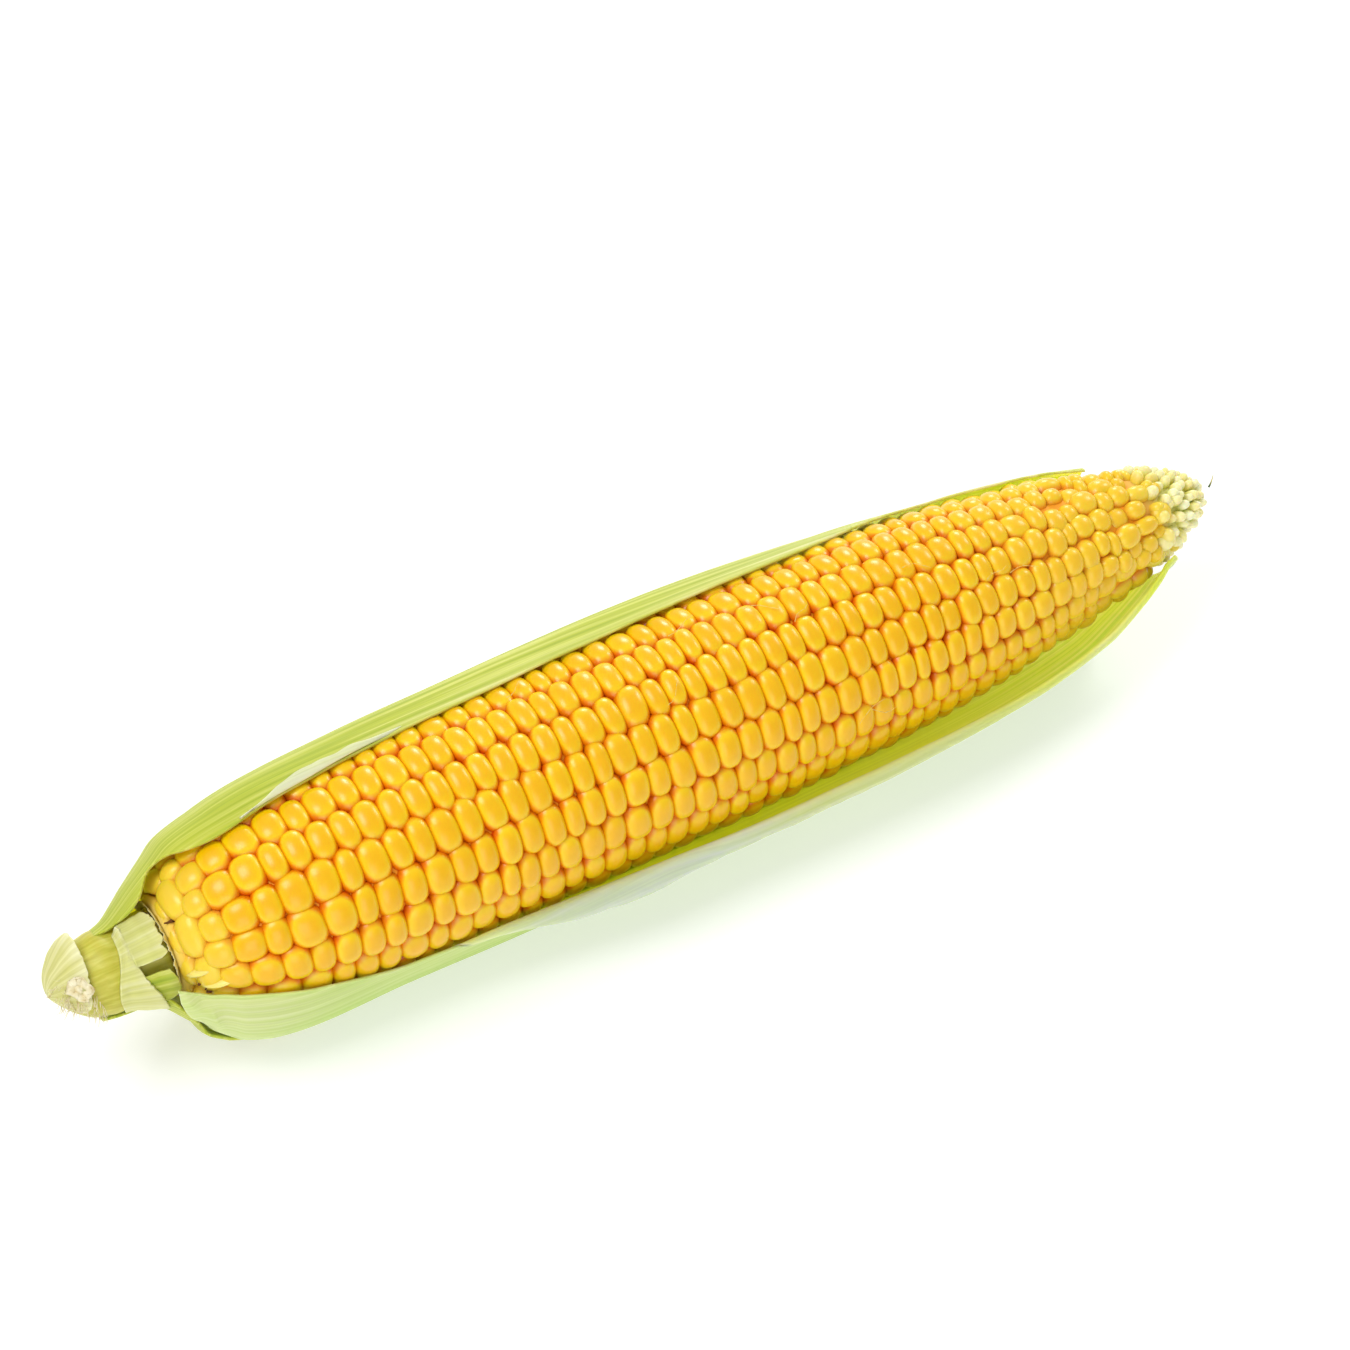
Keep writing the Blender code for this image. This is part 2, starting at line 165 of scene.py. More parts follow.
def add_node(material, kind, inputs=None, stops=(), **settings):
    """Adds a node. An input's value is a number, a colour or another node's socket. stops are
    the (position, hex colour) pairs of a colour ramp."""
    node = material.node_tree.nodes.new(kind)
    for name, value in settings.items():
        setattr(node, name, value)
    for name, value in (inputs or {}).items():
        if isinstance(value, bpy.types.NodeSocket):
            material.node_tree.links.new(value, node.inputs[name])
        else:
            node.inputs[name].default_value = value
    for i, (position, hex_code) in enumerate(stops):
        elements = node.color_ramp.elements
        element = elements[i] if i < 2 else elements.new(position)
        element.position = position
        element.color = colour(hex_code)
    return node


print("mid grey is", round(colour("#808080")[0], 3), "in linear light")

# %% [markdown]
# A material starts with what is the same all over. What changes from place to place comes
# from noise, because nothing that grew has one flat colour.


# %% Start a material
def new_material(name, roughness, ior, **sockets):
    """A Principled material, with what is the same all over set on the shader itself."""
    made = bpy.data.materials.new(name)
    made.use_nodes = True
    shader = made.node_tree.nodes["Principled BSDF"]
    shader.inputs["Roughness"].default_value = roughness
    shader.inputs["IOR"].default_value = ior
    for socket, value in sockets.items():
        shader.inputs[socket.replace("_", " ")].default_value = value
    return made, shader


def connect(material, source, target):
    material.node_tree.links.new(source, target)


def patchy_material(name, roughness, scale, stops):
    """Dry plant matter: patches in a few colours, that many to the metre."""
    made, shader = new_material(name, roughness=roughness, ior=1.45)
    place = add_node(made, "ShaderNodeTexCoord").outputs["Object"]
    patches = add_node(made, "ShaderNodeTexNoise", {"Vector": place, "Scale": scale})
    tint = add_node(made, "ShaderNodeValToRGB", {"Fac": patches.outputs["Fac"]}, stops)
    connect(made, tint.outputs["Color"], shader.inputs["Base Color"])
    return made


print("materials before the first of the ear's:", len(bpy.data.materials))

# %% [markdown]
# ## Smooth curves
#
# Growing things change gently from place to place. Two functions give that: one rises
# smoothly from 0 to 1, and one passes through a short list of stations.


# %% Define smooth curves
def smooth_step(value, low, high):
    share = min(1.0, max(0.0, (value - low) / (high - low)))
    return share * share * (3 - 2 * share)


def between(stations, share):
    """A smooth curve through a few (share, value) stations."""
    last = len(stations) - 1
    i = next((i for i in range(last) if share <= stations[i + 1][0]), last - 1)

    def slope(k):
        (low, first), (high, second) = stations[max(k - 1, 0)], stations[min(k + 1, last)]
        return (second - first) / (high - low)

    (low, first), (high, second) = stations[i], stations[i + 1]
    run = high - low
    t = min(1.0, max(0.0, (share - low) / run))
    bend = t * (1 - t) * (slope(i) * run * (1 - t) - slope(i + 1) * run * t)
    return first + (second - first) * t * t * (3 - 2 * t) + bend


print("half way along a smooth step:", smooth_step(0.5, 0, 1))

# %% [markdown]
# Each finished bmesh becomes an object that rides on the ear, and may be rounded off or
# thickened by a modifier, which keeps the mesh itself small.


# %% Finish a piece
def finish_piece(name, shape, materials, stands_for):
    """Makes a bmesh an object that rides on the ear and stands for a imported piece."""
    mesh = bpy.data.meshes.new(name)
    shape.to_mesh(mesh)
    shape.free()
    mesh.shade_smooth()
    for material in materials:
        mesh.materials.append(material)
    made = bpy.data.objects.new(name, mesh)
    bpy.context.scene.collection.objects.link(made)
    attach(made, "root")
    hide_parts(stands_for)
    return made


def round_off(piece):
    smoothing = piece.modifiers.new("smoothing", "SUBSURF")
    smoothing.levels = smoothing.render_levels = 1


def thicken(piece, thickness):
    """Gives a sheet a wall, towards the ear."""
    wall = piece.modifiers.new("thickness", "SOLIDIFY")
    wall.thickness = thickness
    wall.offset = -1
    return wall


# %% [markdown]
# ## The outline of the ear
#
# The crowns of the kernels lie on a body with a blunt base and a narrow tip. Kernels are
# spaced along its surface, so the outline is measured as a table of distance along the
# surface, place along the axis, radius and slope. It starts in the middle of the flat base.

# %% Measure the outline
WIDEST_AT = 0.40
BASE_FULLNESS = 7.0
TIP_FULLNESS = 2.35
CUT_OFF = 0.003  # a rounded base of that height is cut off, which leaves the flat one


def swell(share, widest, base_fullness, tip_fullness):
    """Radius of a body rounded at both ends, as a share of its widest, along its length."""
    if not 0 < share < 1:
        return 0.0
    if share < widest:
        return math.sqrt(1 - ((widest - share) / widest) ** base_fullness)
    return math.sqrt(1 - ((share - widest) / (1 - widest)) ** tip_fullness)


def ear_radius(x):
    if not 0 <= x < EAR_LENGTH:
        return 0.0
    share = (x + CUT_OFF) / (EAR_LENGTH + CUT_OFF)
    return EAR_RADIUS * swell(share, WIDEST_AT, BASE_FULLNESS, TIP_FULLNESS)


BASE_RADIUS = ear_radius(0.0)
face_r = np.linspace(0, BASE_RADIUS, 60)[:-1]
side_x = EAR_LENGTH * (1 - np.cos(np.linspace(0, math.pi, 1200))) / 2
outline_x = np.concatenate([np.zeros_like(face_r), side_x])
outline_r = np.concatenate([face_r, [ear_radius(x) for x in side_x]])
steps = np.hypot(np.diff(outline_x), np.diff(outline_r))
outline_s = np.concatenate([[0.0], np.cumsum(steps)])
outline_slope = np.unwrap(np.arctan2(np.gradient(outline_r), np.gradient(outline_x)))
WHOLE_WAY = float(outline_s[-1])


def on_outline(along, depth=0.0):
    """(x, radius) at a distance along the surface, that deep below the crowns."""
    x = np.interp(along, outline_s, outline_x)
    radius = np.interp(along, outline_s, outline_r)
    slope = np.interp(along, outline_s, outline_slope)
    return float(x + depth * math.sin(slope)), float(radius - depth * math.cos(slope))


def surface_at(x):
    """Distance along the surface at a place along the axis."""
    return float(np.interp(x, outline_x[len(face_r) :], outline_s[len(face_r) :]))


print(f"surface from the middle of the base to the tip: {WHOLE_WAY / MM:.0f} mm")

# %% [markdown]
# ## Kernel skin
#
# A ripe kernel has a thin, clear, waxy skin over yellow, milky starch. Light goes a
# millimetre or two into it. Its colour runs from a deeper yellow in the crown's middle to a
# lighter ring near the edge, which is a painted highlight for the glowing edges, and on to a
# deep orange on the sides, which is painted shade for the gaps between kernels. Attributes
# say how far each point is from the crown's middle, what tone its kernel has and how unripe
# it is: the last ones near the tip stay whitish green. So hundreds of kernels that all
# differ share one material.


# %% Make the kernel material
def kernel_material():
    """The clear skin is a coat: a small bright highlight over a soft, glowing body."""
    made, shader = new_material(
        "waxy_kernel_skin", roughness=0.36, ior=1.44, Specular_IOR_Level=0.05,
        Subsurface_Weight=0.22, Subsurface_Scale=0.002, Coat_Weight=0.8, Coat_Roughness=0.29,
        Coat_IOR=1.51,
    )  # fmt: skip
    shader.inputs["Subsurface Radius"].default_value = (1.0, 0.55, 0.08)
    rim = add_node(made, "ShaderNodeAttribute", attribute_name="rim").outputs["Fac"]
    tone = add_node(made, "ShaderNodeAttribute", attribute_name="tone").outputs["Fac"]
    green = add_node(made, "ShaderNodeAttribute", attribute_name="unripe").outputs["Fac"]
    # From the crown's middle to its edge: the lighter ring at 0.75 is a painted highlight. The orange
    # from 0.83 to the deep orange at 1.0, on the sides and bottom, is painted shade between the
    # kernels.
    ripe = add_node(
        made, "ShaderNodeValToRGB", {"Fac": rim},
        [
            (0.0, "#E8A600"), (0.36, "#ECB200"), (0.60, "#F2C400"), (0.75, "#F6D010"),
            (0.83, "#F0B000"), (0.90, "#E87E00"), (1.0, "#D24600"),
        ],
    )  # fmt: skip
    young = add_node(
        made, "ShaderNodeValToRGB", {"Fac": rim},
        [(0.0, "#F6F2B0"), (0.7, "#F8F6CC"), (1.0, "#D2D860")],
    )  # fmt: skip
    # The first half of unripe only bleaches the yellow, the second half turns it green-white.
    bleached = add_node(made, "ShaderNodeMapRange", {"Value": green, "From Max": 0.5})
    greened = add_node(made, "ShaderNodeMapRange", {"Value": green, "From Min": 0.5})
    tint = ripe.outputs["Color"]
    for share, other in (
        (tone, colour("#EEAC00")),
        (bleached.outputs["Result"], colour("#F2D848")),
        (greened.outputs["Result"], young.outputs["Color"]),
    ):
        sockets = {"Factor": share, "A": tint, "B": other}
        tint = add_node(made, "ShaderNodeMix", sockets, data_type="RGBA").outputs["Result"]
    # Patches of starch under the skin, about 3 mm across.
    place = add_node(made, "ShaderNodeTexCoord").outputs["Object"]
    starch = add_node(made, "ShaderNodeTexNoise", {"Vector": place, "Scale": 330.0}).outputs["Fac"]
    soft = add_node(made, "ShaderNodeMapRange", {"Value": starch, "To Min": 0.92, "To Max": 1.06})
    sockets = {0: tint, "Scale": soft.outputs["Result"]}
    final = add_node(made, "ShaderNodeVectorMath", sockets, operation="SCALE")
    connect(made, final.outputs["Vector"], shader.inputs["Base Color"])
    return made


KERNEL_SKIN = kernel_material()
print("made", KERNEL_SKIN.name)

# %% [markdown]
# ## One kernel
#
# A kernel is a pillow: nearly rectangular from above, with a domed crown. It could be cut
# from a sphere, but a cube divided twice and puffed out keeps the square corners and takes
# only a few dozen faces, which matters for a shape that is repeated hundreds of times.


# %% Model the kernel that all the others are copied from
def puffed(corner, outline, dome):
    """A point of a cube, moved onto a body with a squarish outline and a domed crown."""
    p, q, h = corner
    flat = (abs(p) ** outline + abs(q) ** outline) ** (dome / outline)
    size = (flat + abs(h) ** dome) ** (1 / dome)
    return Vector((p, q, h)) / size


def kernel_template():
    shape = bmesh.new()
    bmesh.ops.create_cube(shape, size=2.0)
    bmesh.ops.subdivide_edges(shape, edges=shape.edges, cuts=2, use_grid_fill=True)
    mesh = bpy.data.meshes.new("kernel_template")
    shape.to_mesh(mesh)
    shape.free()
    return mesh


TEMPLATE = kernel_template()
print("one kernel has", len(TEMPLATE.polygons), "faces before smoothing")

# %% [markdown]
# ## Rows of kernels
#
# Kernels grow in an even number of straight rows. Along a row their lengths vary a little,
# the first few are large and squarish, and they turn small and round near the tip. Every
# second row stops short at both ends, where there is no room for all of them. An array
# could repeat one kernel, but a loop that walks along the row can make each one different.

# %% Set the kernels' sizes
ROWS = 18
ROWS_START = 140.9  # degrees
KERNEL_HEIGHT = 0.0034
ROW_STEP = 360 / ROWS
ROW_TWIST = [(0, 2.2), (0.05, 0.0), (0.10, -0.6), (0.15, -4.0), (0.18, -6.3), (0.22, -7.5)]
KERNEL_LENGTH = [  # (metres along the axis, millimetres)
    (0, 5.6), (0.012, 5.9), (0.025, 5.0), (0.045, 4.5), (0.10, 4.35), (0.16, 4.15), (0.19, 4.0),
    (0.203, 3.5), (0.22, 2.8),
]  # fmt: skip


def add_kernel(
    row, layers, along, degrees, length, width, sunk, tone, unripe, square, dome, lean=0.0
):
    """Copies the template into a row, as one kernel. width is in degrees."""
    first = len(row.verts)
    row.from_mesh(TEMPLATE)
    row.verts.ensure_lookup_table()
    for vertex in row.verts[first:]:
        p, q, h = puffed(vertex.co, square, dome)
        rim = min(1.0, (abs(p) ** 2.2 + abs(q) ** 2.2) ** (1 / 2.2))
        depth = sunk + KERNEL_HEIGHT * (1 - h) * (1.0 if h > 0 else 0.6)
        x, radius = on_outline(along + (p + lean * q) * length / 2, depth)
        vertex.co = round_axis(x, degrees + q * width / 2, radius, -1.0)
        vertex[layers["rim"]] = rim if h > 0 else 1.0
        vertex[layers["tone"]] = tone
        vertex[layers["unripe"]] = unripe


def new_row():
    row = bmesh.new()
    return row, {name: row.verts.layers.float.new(name) for name in ("rim", "tone", "unripe")}


print(f"a row is {ROW_STEP:.0f} degrees wide, {EAR_RADIUS * math.radians(ROW_STEP) / MM:.1f} mm")

# %% [markdown]
# A number generator with a fixed seed gives each kernel its own length, turn and colour,
# and gives the same ear every time.

# %% Grow the rows
luck = np.random.default_rng(7)
EVEN_ENDS = (surface_at(0.0) - 0.0052, surface_at(0.2060))
ODD_ENDS = (surface_at(0.0030), surface_at(0.2045))
kernels_made = 0

for number in range(ROWS):
    row, layers = new_row()
    odd = number % 2 == 1
    start, end = ODD_ENDS if odd else EVEN_ENDS
    along = start + luck.uniform(-0.0006, 0.0006)
    end += luck.uniform(-0.0025, 0.0010)
    middle = ROWS_START + ROW_STEP * number
    while along < end:
        x, radius = on_outline(along + 0.002)
        tip = smooth_step(x, 0.165, 0.200)
        length = MM * between(KERNEL_LENGTH, x) * (1 + luck.normal(0, 0.085 + 0.14 * tip))
        x, radius = on_outline(along + length / 2)
        alone = 0.0 if odd else 1 - smooth_step(x, 0.002, 0.0065)
        beside = smooth_step(x, 0.003, 0.008) if odd else 1.0
        roundness = smooth_step(x, 0.150, 0.200)
        unripe = 0.16 * smooth_step(x, 0.150, 0.195) + 0.30 * (1 - smooth_step(x, 0.002, 0.011))
        unripe += 0.84 * smooth_step(x + luck.normal(0, 0.0018), 0.2030, 0.2110)
        add_kernel(
            row, layers,
            along=along + length / 2,
            degrees=middle + between(ROW_TWIST, x) + luck.normal(0, 0.45 + 3.4 * tip),
            length=length * (1.25 + 0.10 * (1 - smooth_step(x, 0.004, 0.022)) + 0.14 * tip),
            width=ROW_STEP * (1 + 0.85 * alone) * (0.88 + 0.12 * beside)
            * (1.34 - 0.08 * roundness + 0.18 * tip) * (1 + luck.normal(0, 0.025 + 0.10 * tip)),
            sunk=abs(luck.normal(0, 0.00022 + 0.00040 * tip)),
            tone=luck.uniform(0, 0.4),
            unripe=unripe,
            square=3.1 - 1.0 * roundness,
            dome=2.6 - 0.5 * roundness,
            lean=luck.normal(0, 0.06),
        )  # fmt: skip
        along += length
        kernels_made += 1
    name = f"kernel_row_{number + 1:02d}"
    round_off(finish_piece(name, row, [KERNEL_SKIN], "kernelled_cob"))

print(kernels_made, "kernels in", ROWS, "rows")

# %% [markdown]
# ## The beads at the tip
#
# The last kernels never ripen. They are whitish beads without rows, in rings that get
# smaller and smaller. They are copies of the same template, with a round outline.

# %% Add the beads
beads, layers = new_row()
ring_at = surface_at(0.2065)
while ring_at < WHOLE_WAY - 0.0006:
    x, radius = on_outline(ring_at)
    ripe = 1 - smooth_step(x, 0.2065, 0.2120)
    count = max(3, round(math.tau * radius / (0.0026 + 0.0006 * ripe)))
    turn = luck.uniform(0, 360)
    for i in range(count):
        add_kernel(
            beads, layers,
            along=ring_at + luck.normal(0, 0.00035),
            degrees=turn + 360 * i / count + luck.normal(0, 4),
            length=(0.0027 + 0.0008 * ripe) * (1 + luck.normal(0, 0.15)),
            width=1.15 * 360 / count * (1 + luck.normal(0, 0.12)),
            sunk=abs(luck.normal(0, 0.0005)) - 0.0003,
            tone=0.0,
            unripe=min(1.0, luck.uniform(0.72, 1.0) - 0.3 * ripe * luck.uniform(0, 1.4)),
            square=2.1,
            dome=2.1,
        )  # fmt: skip
    ring_at += 0.0020 + 0.0006 * ripe
bead_piece = finish_piece("tip_beads", beads, [KERNEL_SKIN], "kernelled_cob")
round_off(bead_piece)
print("beads at the tip:", len(bead_piece.data.vertices) // len(TEMPLATE.vertices))

# %% [markdown]
# ## The cob between the kernels
#
# Between kernels only their sides, painted deep orange as shade, and a little of the cob
# show. One turned body under the crowns closes every gap; along its middle it is painted the
# same orange, as shade in the gaps. Its flat base is pale and papery.


# %% Turn the cob
def turned_body(profile, steps):
    """A closed body turned about the ear's axis from (x, radius) points."""
    shape = bmesh.new()
    line = [shape.verts.new((x, radius, 0)) for x, radius in profile]
    edges = [shape.edges.new(pair) for pair in zip(line, line[1:])]
    bmesh.ops.spin(
        shape, geom=line + edges, cent=(0, 0, 0), axis=(1, 0, 0), angle=math.tau, steps=steps,
        use_merge=True,
    )  # fmt: skip
    bmesh.ops.remove_doubles(shape, verts=shape.verts, dist=1e-6)
    bmesh.ops.recalc_face_normals(shape, faces=shape.faces)
    bmesh.ops.translate(shape, verts=shape.verts, vec=(BASE_X, AXIS.y, AXIS.z))
    return shape


def cob_material():
    made, shader = new_material("cob_flesh", roughness=0.55, ior=1.42)
    place = add_node(made, "ShaderNodeTexCoord").outputs["Object"]
    along = add_node(made, "ShaderNodeSeparateXYZ", {"Vector": place}).outputs["X"]
    ends = {"Value": along, "From Min": BASE_X, "From Max": BASE_X + EAR_LENGTH}
    share = add_node(made, "ShaderNodeMapRange", ends).outputs["Result"]
    # Pale at the flat base and at the tip; the orange along the middle is painted shade for the gaps
    # between kernels.
    tint = add_node(
        made, "ShaderNodeValToRGB", {"Fac": share},
        [
            (0.0, "#EBDC8C"), (0.004, "#F2CC4C"), (0.018, "#F4B81C"), (0.07, "#EE9C08"),
            (0.915, "#EE9C08"), (0.945, "#DCD878"),
        ],
    )  # fmt: skip
    connect(made, tint.outputs["Color"], shader.inputs["Base Color"])
    return made


COB_DEPTH = 0.0026
stations = np.linspace(surface_at(0.0) + 0.0004, WHOLE_WAY - COB_DEPTH, 120)
profile = [(0.0004, 0.0), (0.0004, BASE_RADIUS - 0.0014), (0.0012, BASE_RADIUS - 0.0006)]
under_crowns = [on_outline(along, COB_DEPTH) for along in stations]
profile += [(x, radius) for x, radius in under_crowns if x > 0.0016]
profile.append((EAR_LENGTH - COB_DEPTH, 0.0))
cob = turned_body([(x, max(0.0, radius)) for x, radius in profile], 72)
finish_piece("cob_surface", cob, [cob_material()], "kernelled_cob")
print("the cob lies", COB_DEPTH / MM, "mm under the crowns")

# %% [markdown]
# ## Husk leaf tissue
#
# A husk leaf is a thin, satin sheet with parallel veins. Its outside is green where the sun
# reached it and nearly white at its rim. Its inside is yellow-green, and a strong yellow in
# the shade between kernels and leaf: partly its own colour and partly painted light reflected
# from the kernels. The veins run from base to tip, so their pattern reads the leaf's own UV
# map: the first direction is the distance along the leaf in metres, and the second the
# distance round it.


# %% Make the husk material
def husk_material(
    name, greens, pales, towards_tip=None, roughness=0.50, relief=0.30, glow=0.7, depth=0.0025,
    through=(0.75, 0.75, 1.0),
):  # fmt: skip
    """greens and pales: the colours of streaks where an attribute, pale, is 0 and 1."""
    made, shader = new_material(
        name, roughness=roughness, ior=1.42, Specular_IOR_Level=0.3, Subsurface_Weight=glow,
        Subsurface_Scale=depth,
    )  # fmt: skip
    shader.inputs["Subsurface Radius"].default_value = through
    pale = add_node(made, "ShaderNodeAttribute", attribute_name="pale").outputs["Fac"]
    sheet_uv = add_node(made, "ShaderNodeUVMap", uv_map="leaf").outputs["UV"]
    # A streak is about 1.2 mm wide and 50 mm long, a vein 0.45 mm wide.
    streaks = add_node(made, "ShaderNodeMapping", {"Vector": sheet_uv, "Scale": (18, 800, 1)})
    veins = add_node(made, "ShaderNodeMapping", {"Vector": sheet_uv, "Scale": (25, 2200, 1)})
    pattern = {"Vector": streaks.outputs["Vector"], "Scale": 1.0, "Detail": 4.0}
    streak = add_node(made, "ShaderNodeTexNoise", pattern).outputs["Fac"]
    pattern = {"Vector": veins.outputs["Vector"], "Scale": 1.0}
    vein = add_node(made, "ShaderNodeTexNoise", pattern).outputs["Fac"]

    def streaky(colours, low, high):
        stops = list(zip((low, 0.50, high), colours))
        return add_node(made, "ShaderNodeValToRGB", {"Fac": streak}, stops).outputs["Color"]

    tint = streaky(greens, 0.32, 0.66)
    changes = [(pale, streaky(pales, 0.32, 0.66))]
    if towards_tip:
        # From 150 mm along the ear, where the leaf gets thinner, the inside turns brighter and greener:
        # painted light that shines through it.
        way = add_node(made, "ShaderNodeSeparateXYZ", {"Vector": sheet_uv}).outputs["X"]
        ends = {"Value": way, "From Min": 0.150, "From Max": 0.185}
        thin = add_node(made, "ShaderNodeMapRange", ends).outputs["Result"]
        changes.append((thin, streaky(towards_tip, 0.36, 0.62)))
    for share, other in changes:
        sockets = {"Factor": share, "A": tint, "B": other}
        tint = add_node(made, "ShaderNodeMix", sockets, data_type="RGBA").outputs["Result"]
    shade = {"Value": vein, "From Min": 0.35, "From Max": 0.65, "To Min": 0.91}
    darker = add_node(made, "ShaderNodeMapRange", shade).outputs["Result"]
    final = add_node(made, "ShaderNodeVectorMath", {0: tint, "Scale": darker}, operation="SCALE")
    bump = add_node(made, "ShaderNodeBump", {"Height": vein, "Strength": relief, "Distance": 0.00025})
    connect(made, final.outputs["Vector"], shader.inputs["Base Color"])
    connect(made, bump.outputs["Normal"], shader.inputs["Normal"])
    return made


print("the husk's material is a function, as it is mixed in several colours")

# %% [markdown]
# The leaves differ mostly in colour: inner ones are paler than outer ones, the inside carries
# painted light from the kernels and through the leaf, and torn bases and frayed rims have bleached.

# %% Mix the leaves' colours
INNER_HUSK = husk_material(
    "pale_husk_leaf",
    greens=("#A0C850", "#B0D45E", "#BEDC70"),
    pales=("#CCDE88", "#D4E296", "#DCE7A6"),
)
OUTER_HUSK = husk_material(
    "green_husk_leaf",
    greens=("#9CB030", "#B8C240", "#D4D86C"),
    pales=("#B6C250", "#CACF6A", "#DEDF98"),
)
# The inside's strong yellow greens are painted light reflected from the kernels into the shade under
# the leaf; its colours towards the tip are painted light shining through the leaf.
HUSK_INSIDE = husk_material(
    "husk_inside_painted_light",
    greens=("#E2D400", "#EADF00", "#F2E808"),
    pales=("#CCE8A6", "#D8F0B8", "#E4F6CC"),
    towards_tip=("#B4DE3C", "#D8F260", "#EAF98A"),
    relief=0.2, glow=1.0, depth=0.005, through=(1.0, 1.0, 0.35),
)
TORN_HUSK = husk_material(
    "torn_husk_base",
    greens=("#C6CA66", "#D2D47A", "#DCDC8E"),
    pales=("#D8D688", "#E1DF9A", "#EAE8B2"),
    relief=0.12,
)
FRAYED_RIM = husk_material(
    "bleached_husk_rim",
    greens=("#DCE68C", "#E6EEA2", "#EEF3B6"),
    pales=("#EAF0B0", "#F0F4C2", "#F5F8D2"),
)
print("made", INNER_HUSK.name, OUTER_HUSK.name, HUSK_INSIDE.name)

# %% [markdown]
# ## A sheet round the ear
#
# Each leaf starts as a flat grid that is wrapped round the axis. A Solidify modifier gives
# it its thickness, towards the ear, and puts the second material on that side.

# %% Wrap a grid into a leaf
LEAF_THICKNESS = 0.0005
UNROLLED_AT = 0.024  # the radius at which a leaf's map is laid flat
SHANK_UNROLLED_AT = 0.010


def on_leaf(x, degrees, start=0.0, radius=UNROLLED_AT):
    """A place on a leaf's own map. start keeps different pieces apart on it."""
    return x, math.radians(degrees) * radius + start


def sheet(name, along, across, place, materials, stands_for, thickness=LEAF_THICKNESS):
    """place(u, v) gives a point of the outer side, where it is on the leaf's own map, and how
    pale the leaf is there."""
    shape = bmesh.new()
    bmesh.ops.create_grid(shape, x_segments=along, y_segments=across, size=0.5)
    pale = shape.verts.layers.float.new("pale")
    uv = shape.loops.layers.uv.new("leaf")
    on_map = {}
    for vertex in shape.verts:
        vertex.co, on_map[vertex], vertex[pale] = place(vertex.co.x + 0.5, vertex.co.y + 0.5)
    for face in shape.faces:
        for loop in face.loops:
            loop[uv].uv = on_map[loop.vert]
    made = finish_piece(name, shape, materials, stands_for)
    thicken(made, thickness).material_offset = len(materials) - 1
    return made


def ripple(x, degrees, seed, wavelength=0.02):
    """Smooth noise between about -1 and 1, the same at every run."""
    angle = math.radians(degrees)
    point = Vector((x / wavelength, math.cos(angle) * 1.5, math.sin(angle) * 1.5 + seed))
    return noise.noise(point)


print("a leaf is", LEAF_THICKNESS / MM, "mm thick")

# %% [markdown]
# ## How a husk leaf lies
#
# A leaf grows from the shank, swells over the blunt base of the ear and tapers to a point.
# It is a body of revolution, cut to a strip between two edges, and never closer to the
# axis than the kernels or the leaf inside it allow. Underneath, the ear's weight presses it
# flat.

# %% Describe a leaf
SHANK_RADIUS = 0.0072
NESTING = 0.0003  # the gap between a leaf and what it wraps
UNEVENNESS = 0.00025
LAYER = 0.0010  # how high the front and rear leaves lie above the floor, on the under leaf


class Husk:
    """Stations are in millimetres along the axis. radii: (x, radius). edges: (x, lower angle,
    upper angle). pinch: (x, share) how much closer to the ear its visible rim is, which starts
    at pinch_from of its width. inside: the leaves between it and the ear."""

    def __init__(self, radii, edges, pinch=(), pinch_from=0.5, inside=()):
        self.begin, self.end = edges[0][0] * MM, edges[-1][0] * MM
        self.whole_from = self.begin + 0.0052
        self.radii = radii
        self.lower = [(x, low) for x, low, _ in edges]
        self.upper = [(x, high) for x, _, high in edges]
        self.pinch, self.pinch_from, self.inside = pinch, pinch_from, inside

    def x_at(self, u):
        return self.begin + (self.end - self.begin) * (1 - math.cos(math.pi * u)) / 2

    def radius_at(self, x, v=0.0):
        leaf = between(self.radii, min(x / MM, self.radii[-1][0])) * MM
        at_rim = smooth_step(v, self.pinch_from, 1.0) if self.pinch else 0.0
        if at_rim:
            leaf *= 1 - between(self.pinch, x / MM) * at_rim
        kept_clear = [ear_radius(x)]
        for husk in self.inside:
            near = (x - MM, x, x + MM)
            kept_clear += [husk.radius_at(place) for place in near if place > husk.whole_from]
        return max(leaf, max(kept_clear) + NESTING * (1 - 1.8 * at_rim) + LEAF_THICKNESS)

    def edge_angles(self, x):
        return between(self.lower, x / MM), between(self.upper, x / MM)


print(f"a leaf's outer side lies {(NESTING + LEAF_THICKNESS) / MM:.1f} mm from what it wraps")

# %% [markdown]
# The stations of each leaf are its pattern, as a tailor's would be: how wide it stands and
# where its two edges run, from its base at the shank to its point.

